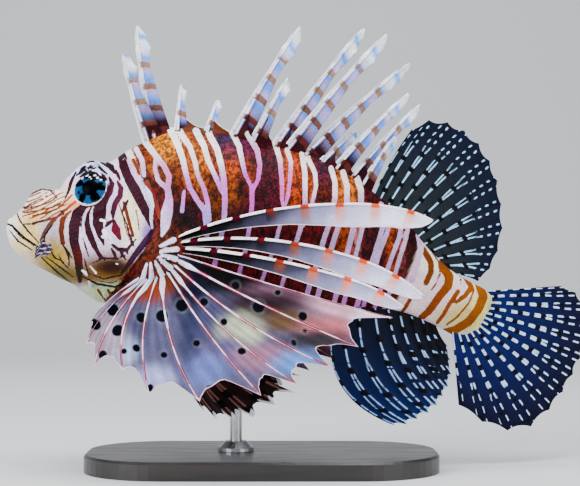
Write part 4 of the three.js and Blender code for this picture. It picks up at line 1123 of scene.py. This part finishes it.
def spine(number, x, length, angle, lean, vane, material):
    way = leaning(angle, lean)
    behind = heading(angle - 90)
    root = body_point(x, BACK) - way * ROOT_DEPTH
    root[1] -= way[1]
    reach = length / math.cos(math.radians(lean)) + ROOT_DEPTH
    t = np.linspace(0, 1, 111)
    at = root + np.outer(reach * t, way) + np.outer(length * SPINE_SWEEP * (t * t - t), behind)
    teeth = 1 - 0.3 * np.abs(np.sin(30 * t + number)) * np.clip(6 * t - 4.2, 0, 1)
    wide = vane * np.interp(t, VANE_PLACES, VANE_SHARES) * teeth
    points, faces, on = vaned(at, behind, SPINE_RADIUS, SPINE_LEAD * wide, 0.3 + wide, 0.9)
    swing = 0.5 + 0.5 * np.sin(on.run * 0.55 + 2 * number + on.share)
    middle = blend(swing, colour(188, 174, 224), colour(104, 150, 236))
    top = blend(swing**3, colour(244, 248, 255), colour(110, 170, 244))
    foot = 1.8 - on.run / min(FOOT_TALL, FOOT_SHARE * length) - 0.6 * (on.share < 0.1)
    ground = blend(foot, blend((on.t - 0.66) * 5, middle, top), colour(74, 22, 34))
    band = pulse(on.run + 5 * number + 1.2 * on.share**2, 11.5, 0.3)
    # Painted highlight: a white line along the leading edge of the vane, where the light catches the
    # edge.
    front = 0.55 * (0.5 - np.abs(on.share + 1))
    shaft = 0.42 - np.abs(on.place + 0.2)
    marks = {
        "rust": np.minimum(band, 6 * (0.74 - on.t) * length / 40),
        "pale": np.maximum(front, np.minimum(shaft, -band)),
    }
    tints = {
        "pale": colour(248, 248, 255),
        "rust": blend(1.6 - 3 * on.t, colour(176, 142, 122), colour(112, 52, 52)),
    }
    piece = make_piece(f"dorsal_spine_{number + 1}", points, faces, material, ground, marks, tints)
    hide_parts("dorsal_fin_spiny")


def spine_web(material):
    """The low skin between the spines, which dips behind each one."""
    f = np.arange(WEB_STEPS) / WEB_STEPS
    xs, rises, ways = [], [], []
    for here, after in zip(SPINES[:-1], SPINES[1:]):
        xs.append(here[0] + (after[0] - here[0]) * f)
        rises.append(WEB_LOW + min(WEB_RISE, here[1] * WEB_SHARE) * (1 - f) ** 2.6)
        ways.append(np.outer(1 - f, leaning(*here[2:4])) + np.outer(f, leaning(*after[2:4])))
    x = np.concatenate([*xs, [SPINES[-1][0]]])
    tall = np.concatenate([*rises, [WEB_LOW]])[:, None] + ROOT_DEPTH
    way = np.concatenate([*ways, [leaning(*SPINES[-1][2:4])]])
    way /= np.linalg.norm(way, axis=1, keepdims=True)
    above = tall * np.linspace(0, 1, WEB_ROWS)
    grid = (body_point(x, BACK) - way * ROOT_DEPTH)[:, None] + way[:, None] * above[..., None]
    half = 0.2 + 1.3 * bell(above / 3.5)
    points, faces = two_faced(grid, grid_normals(grid) * half[..., None])
    u, v = side_view(grid)
    edge = 0.35 - tall + above + FAR * (x > SPINES[WEB_EDGE_END][0])[:, None]
    piece = make_piece("dorsal_spine_web", points, faces, material,
                       patches(u, v, *SPINE_WEB_GROUND),
                       {"pale": np.maximum(edge, line_field(u, v, TRUNK_LINES))},
                       {"pale": colour(246, 238, 240)})
    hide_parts("dorsal_fin_spiny")


# Flesh flaps of the head: x and z of the root, length, heading, lean outwards, thickness, width
# of the web, colour.
FLAPS = [
    (-121.2, 134, 5, 95, 12, 0.9, 0.8, (236, 226, 236)),
    (-121.5, 113.5, 9, -114, 24, 1.3, 1.8, (92, 62, 88)),
    (-124.5, 111, 6.5, -98, 30, 1.1, 1.3, (66, 48, 84)),
    (-118.5, 111.5, 7.5, -124, 30, 1.2, 1.6, (112, 80, 112)),
    (-98.5, 93.5, 3, -82, 34, 1.2, 0.8, (196, 190, 176)),
    (-92, 88.5, 3, -74, 36, 1.1, 0.8, (186, 190, 170)),
    (-95, 148.5, 6, 96, 26, 1.2, 1.2, (206, 210, 236)),
    (-91, 116, 3.5, -25, 46, 1.3, 0.2, (244, 238, 248)),
    (-86, 104, 3.5, -35, 42, 1.2, 0.2, (236, 226, 232)),
    (-101, 99, 3.5, -50, 44, 1.2, 0.2, (240, 236, 244)),
    (-82.5, 152, 3.5, 70, 25, 1.1, 0.4, (66, 30, 54)),
]
FLAP_DEPTH = 2.0


def flap(name, side, material, x, z, length, angle, lean, thick, web, tint):
    way = leaning(angle, side * lean)
    root = np.array([x, -side * flank_point(x, z)[1], z]) - way * FLAP_DEPTH
    t = np.linspace(0, 1, 25)
    at = root + np.outer((length + FLAP_DEPTH) * t, way)
    wide = web * np.sin(np.pi * np.minimum(1, 0.25 + 0.7 * t)) * (1 + 0.2 * np.sin(14 * t))
    points, faces, on = vaned(at, heading(angle + 90), thick, 0.0, wide, 0.3)
    specks = pulse(on.run + 2 * on.share, 3.1, 0.3) - 0.1
    piece = make_piece(name, points, faces, material, colour(*tint), {"pale": specks},
                       {"pale": colour(200, 222, 246)})


def wood():
    shader = Shader("stained_wood")
    grain = shader.noise(1.6, 8, 0.65, shader.stretched(14, 160, 160))
    pores = shader.noise(9, 4, 0.6, shader.stretched(40, 900, 900))
    base = shader.mix(shader.ramp(grain, 0.3, 0.7), colour(26, 18, 15), colour(58, 40, 30))
    base = shader.mix(shader.ramp(pores, 0.55, 0.7, 0, 0.6), base, colour(14, 10, 8))
    shader.bump(pores, 0.00008)
    return shader.finish(base, shader.ramp(grain, 0.3, 0.7, 0.3, 0.45), coat_weight=0.3,
                         coat_roughness=0.25)


def steel():
    shader = Shader("brushed_steel")
    fine = shader.noise(30, 3, 0.6, shader.stretched(30, 30, 900))
    base = shader.mix(fine, colour(168, 170, 174), colour(206, 207, 210))
    shader.bump(fine, 0.00003)
    return shader.finish(base, shader.ramp(fine, 0.3, 0.7, 0.22, 0.36), metallic=1.0)


def stand():
    for node, material in (("stand_base", wood()), ("stand_rod", steel()), ("stand_collar", steel())):
        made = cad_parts[node]
        made.data.materials.clear()
        made.data.materials.append(material)


# The studio, in metres: a sheet of paper that lies under the model and curves up behind it.
SHEET = SimpleNamespace(front=-2.5, back=0.9, bend=0.7, high=3.0, half=3.5, steps=12)
AIR_COLOUR, AIR_STRENGTH = (0.85, 0.9, 1.0, 1), 0.5
# Lamps: name, place, size, power. All of them aim at the middle of the fish.
LAMPS = [
    ("key", (-1.0, -0.9, 0.75), 0.9, 34),
    ("top", (0.1, -0.15, 1.2), 0.9, 20),
    ("fill", (0.9, -0.9, 0.3), 0.9, 8),
]
AIM = Vector((0, 0, 0.12))
SENSOR_WIDE = 36


def sheet():
    turns = np.radians(np.linspace(0, 90, SHEET.steps + 1))
    bend = zip(SHEET.back + SHEET.bend * np.sin(turns), SHEET.bend * (1 - np.cos(turns)))
    profile = [(SHEET.front, 0), *bend, (SHEET.back + SHEET.bend, SHEET.high)]
    points = [(x, y, z) for y, z in profile for x in (-SHEET.half, SHEET.half)]
    mesh = bpy.data.meshes.new("studio_sweep")
    mesh.from_pydata(points, [], [(k, k + 1, k + 3, k + 2) for k in range(0, len(points) - 2, 2)])
    mesh.polygons.foreach_set("use_smooth", [True] * len(mesh.polygons))
    mesh.materials.append(Shader("studio_paper").finish((0.62, 0.63, 0.64, 1), 0.9))
    sweep = bpy.data.objects.new("studio_sweep", mesh)
    bpy.context.scene.collection.objects.link(sweep)


def lights():
    world = bpy.data.worlds.new("studio_air")
    world.use_nodes = True
    world.node_tree.nodes["Background"].inputs["Color"].default_value = AIR_COLOUR
    world.node_tree.nodes["Background"].inputs["Strength"].default_value = AIR_STRENGTH
    bpy.context.scene.world = world
    for name, where, size, power in LAMPS:
        data = bpy.data.lights.new(name, "AREA")
        data.size, data.energy = size, power
        lamp = bpy.data.objects.new(name, data)
        lamp.location = where
        lamp.rotation_euler = (AIM - Vector(where)).to_track_quat("-Z", "Y").to_euler()
        bpy.context.scene.collection.objects.link(lamp)


def camera():
    """A camera in the place that the side view is worked out for."""
    data = bpy.data.cameras.new("camera")
    data.sensor_width = SENSOR_WIDE
    data.lens = SENSOR_WIDE * VIEW_AWAY / (2 * VIEW_U * VIEW_STEP)
    made = bpy.data.objects.new("camera", data)
    made.location = (SHIFT[0], SHIFT[1] - VIEW_AWAY / 1000, VIEW_HEIGHT / 1000)
    made.rotation_euler = (math.pi / 2, 0, 0)
    bpy.context.scene.collection.objects.link(made)
    bpy.context.scene.camera = made


camera()
sheet()
lights()
skin()
for where, side in SIDES.items():
    eye(side, f"eye_{where}")
median_skin = marked("median_fin_skin", wobble=0.2, soft=0.1, speckle=0.3, ripples=0.00006)
for median_fin in (soft_dorsal, anal, caudal):
    median_fin(median_skin)
for paired_fin, name in ((pectoral, "pectoral_fin"), (pelvic, "pelvic_fin")):
    for where, side in SIDES.items():
        paired_fin(side, f"{name}_{where}")
spine_skin = marked("dorsal_spine_skin", wobble=0.6, soft=0.26, speckle=0.32, ripples=0.00006)
for order, numbers in enumerate(SPINES):
    spine(order, *numbers, spine_skin)
spine_web(spine_skin)
flap_skin = marked("head_flap_skin", wobble=0.3, speckle=0.3, ripples=0.00006)
for where, side in SIDES.items():
    for order, numbers in enumerate(FLAPS):
        flap(f"head_flap_{where}_{order + 1}", side, flap_skin, *numbers)
stand()
bpy.context.view_layer.update()
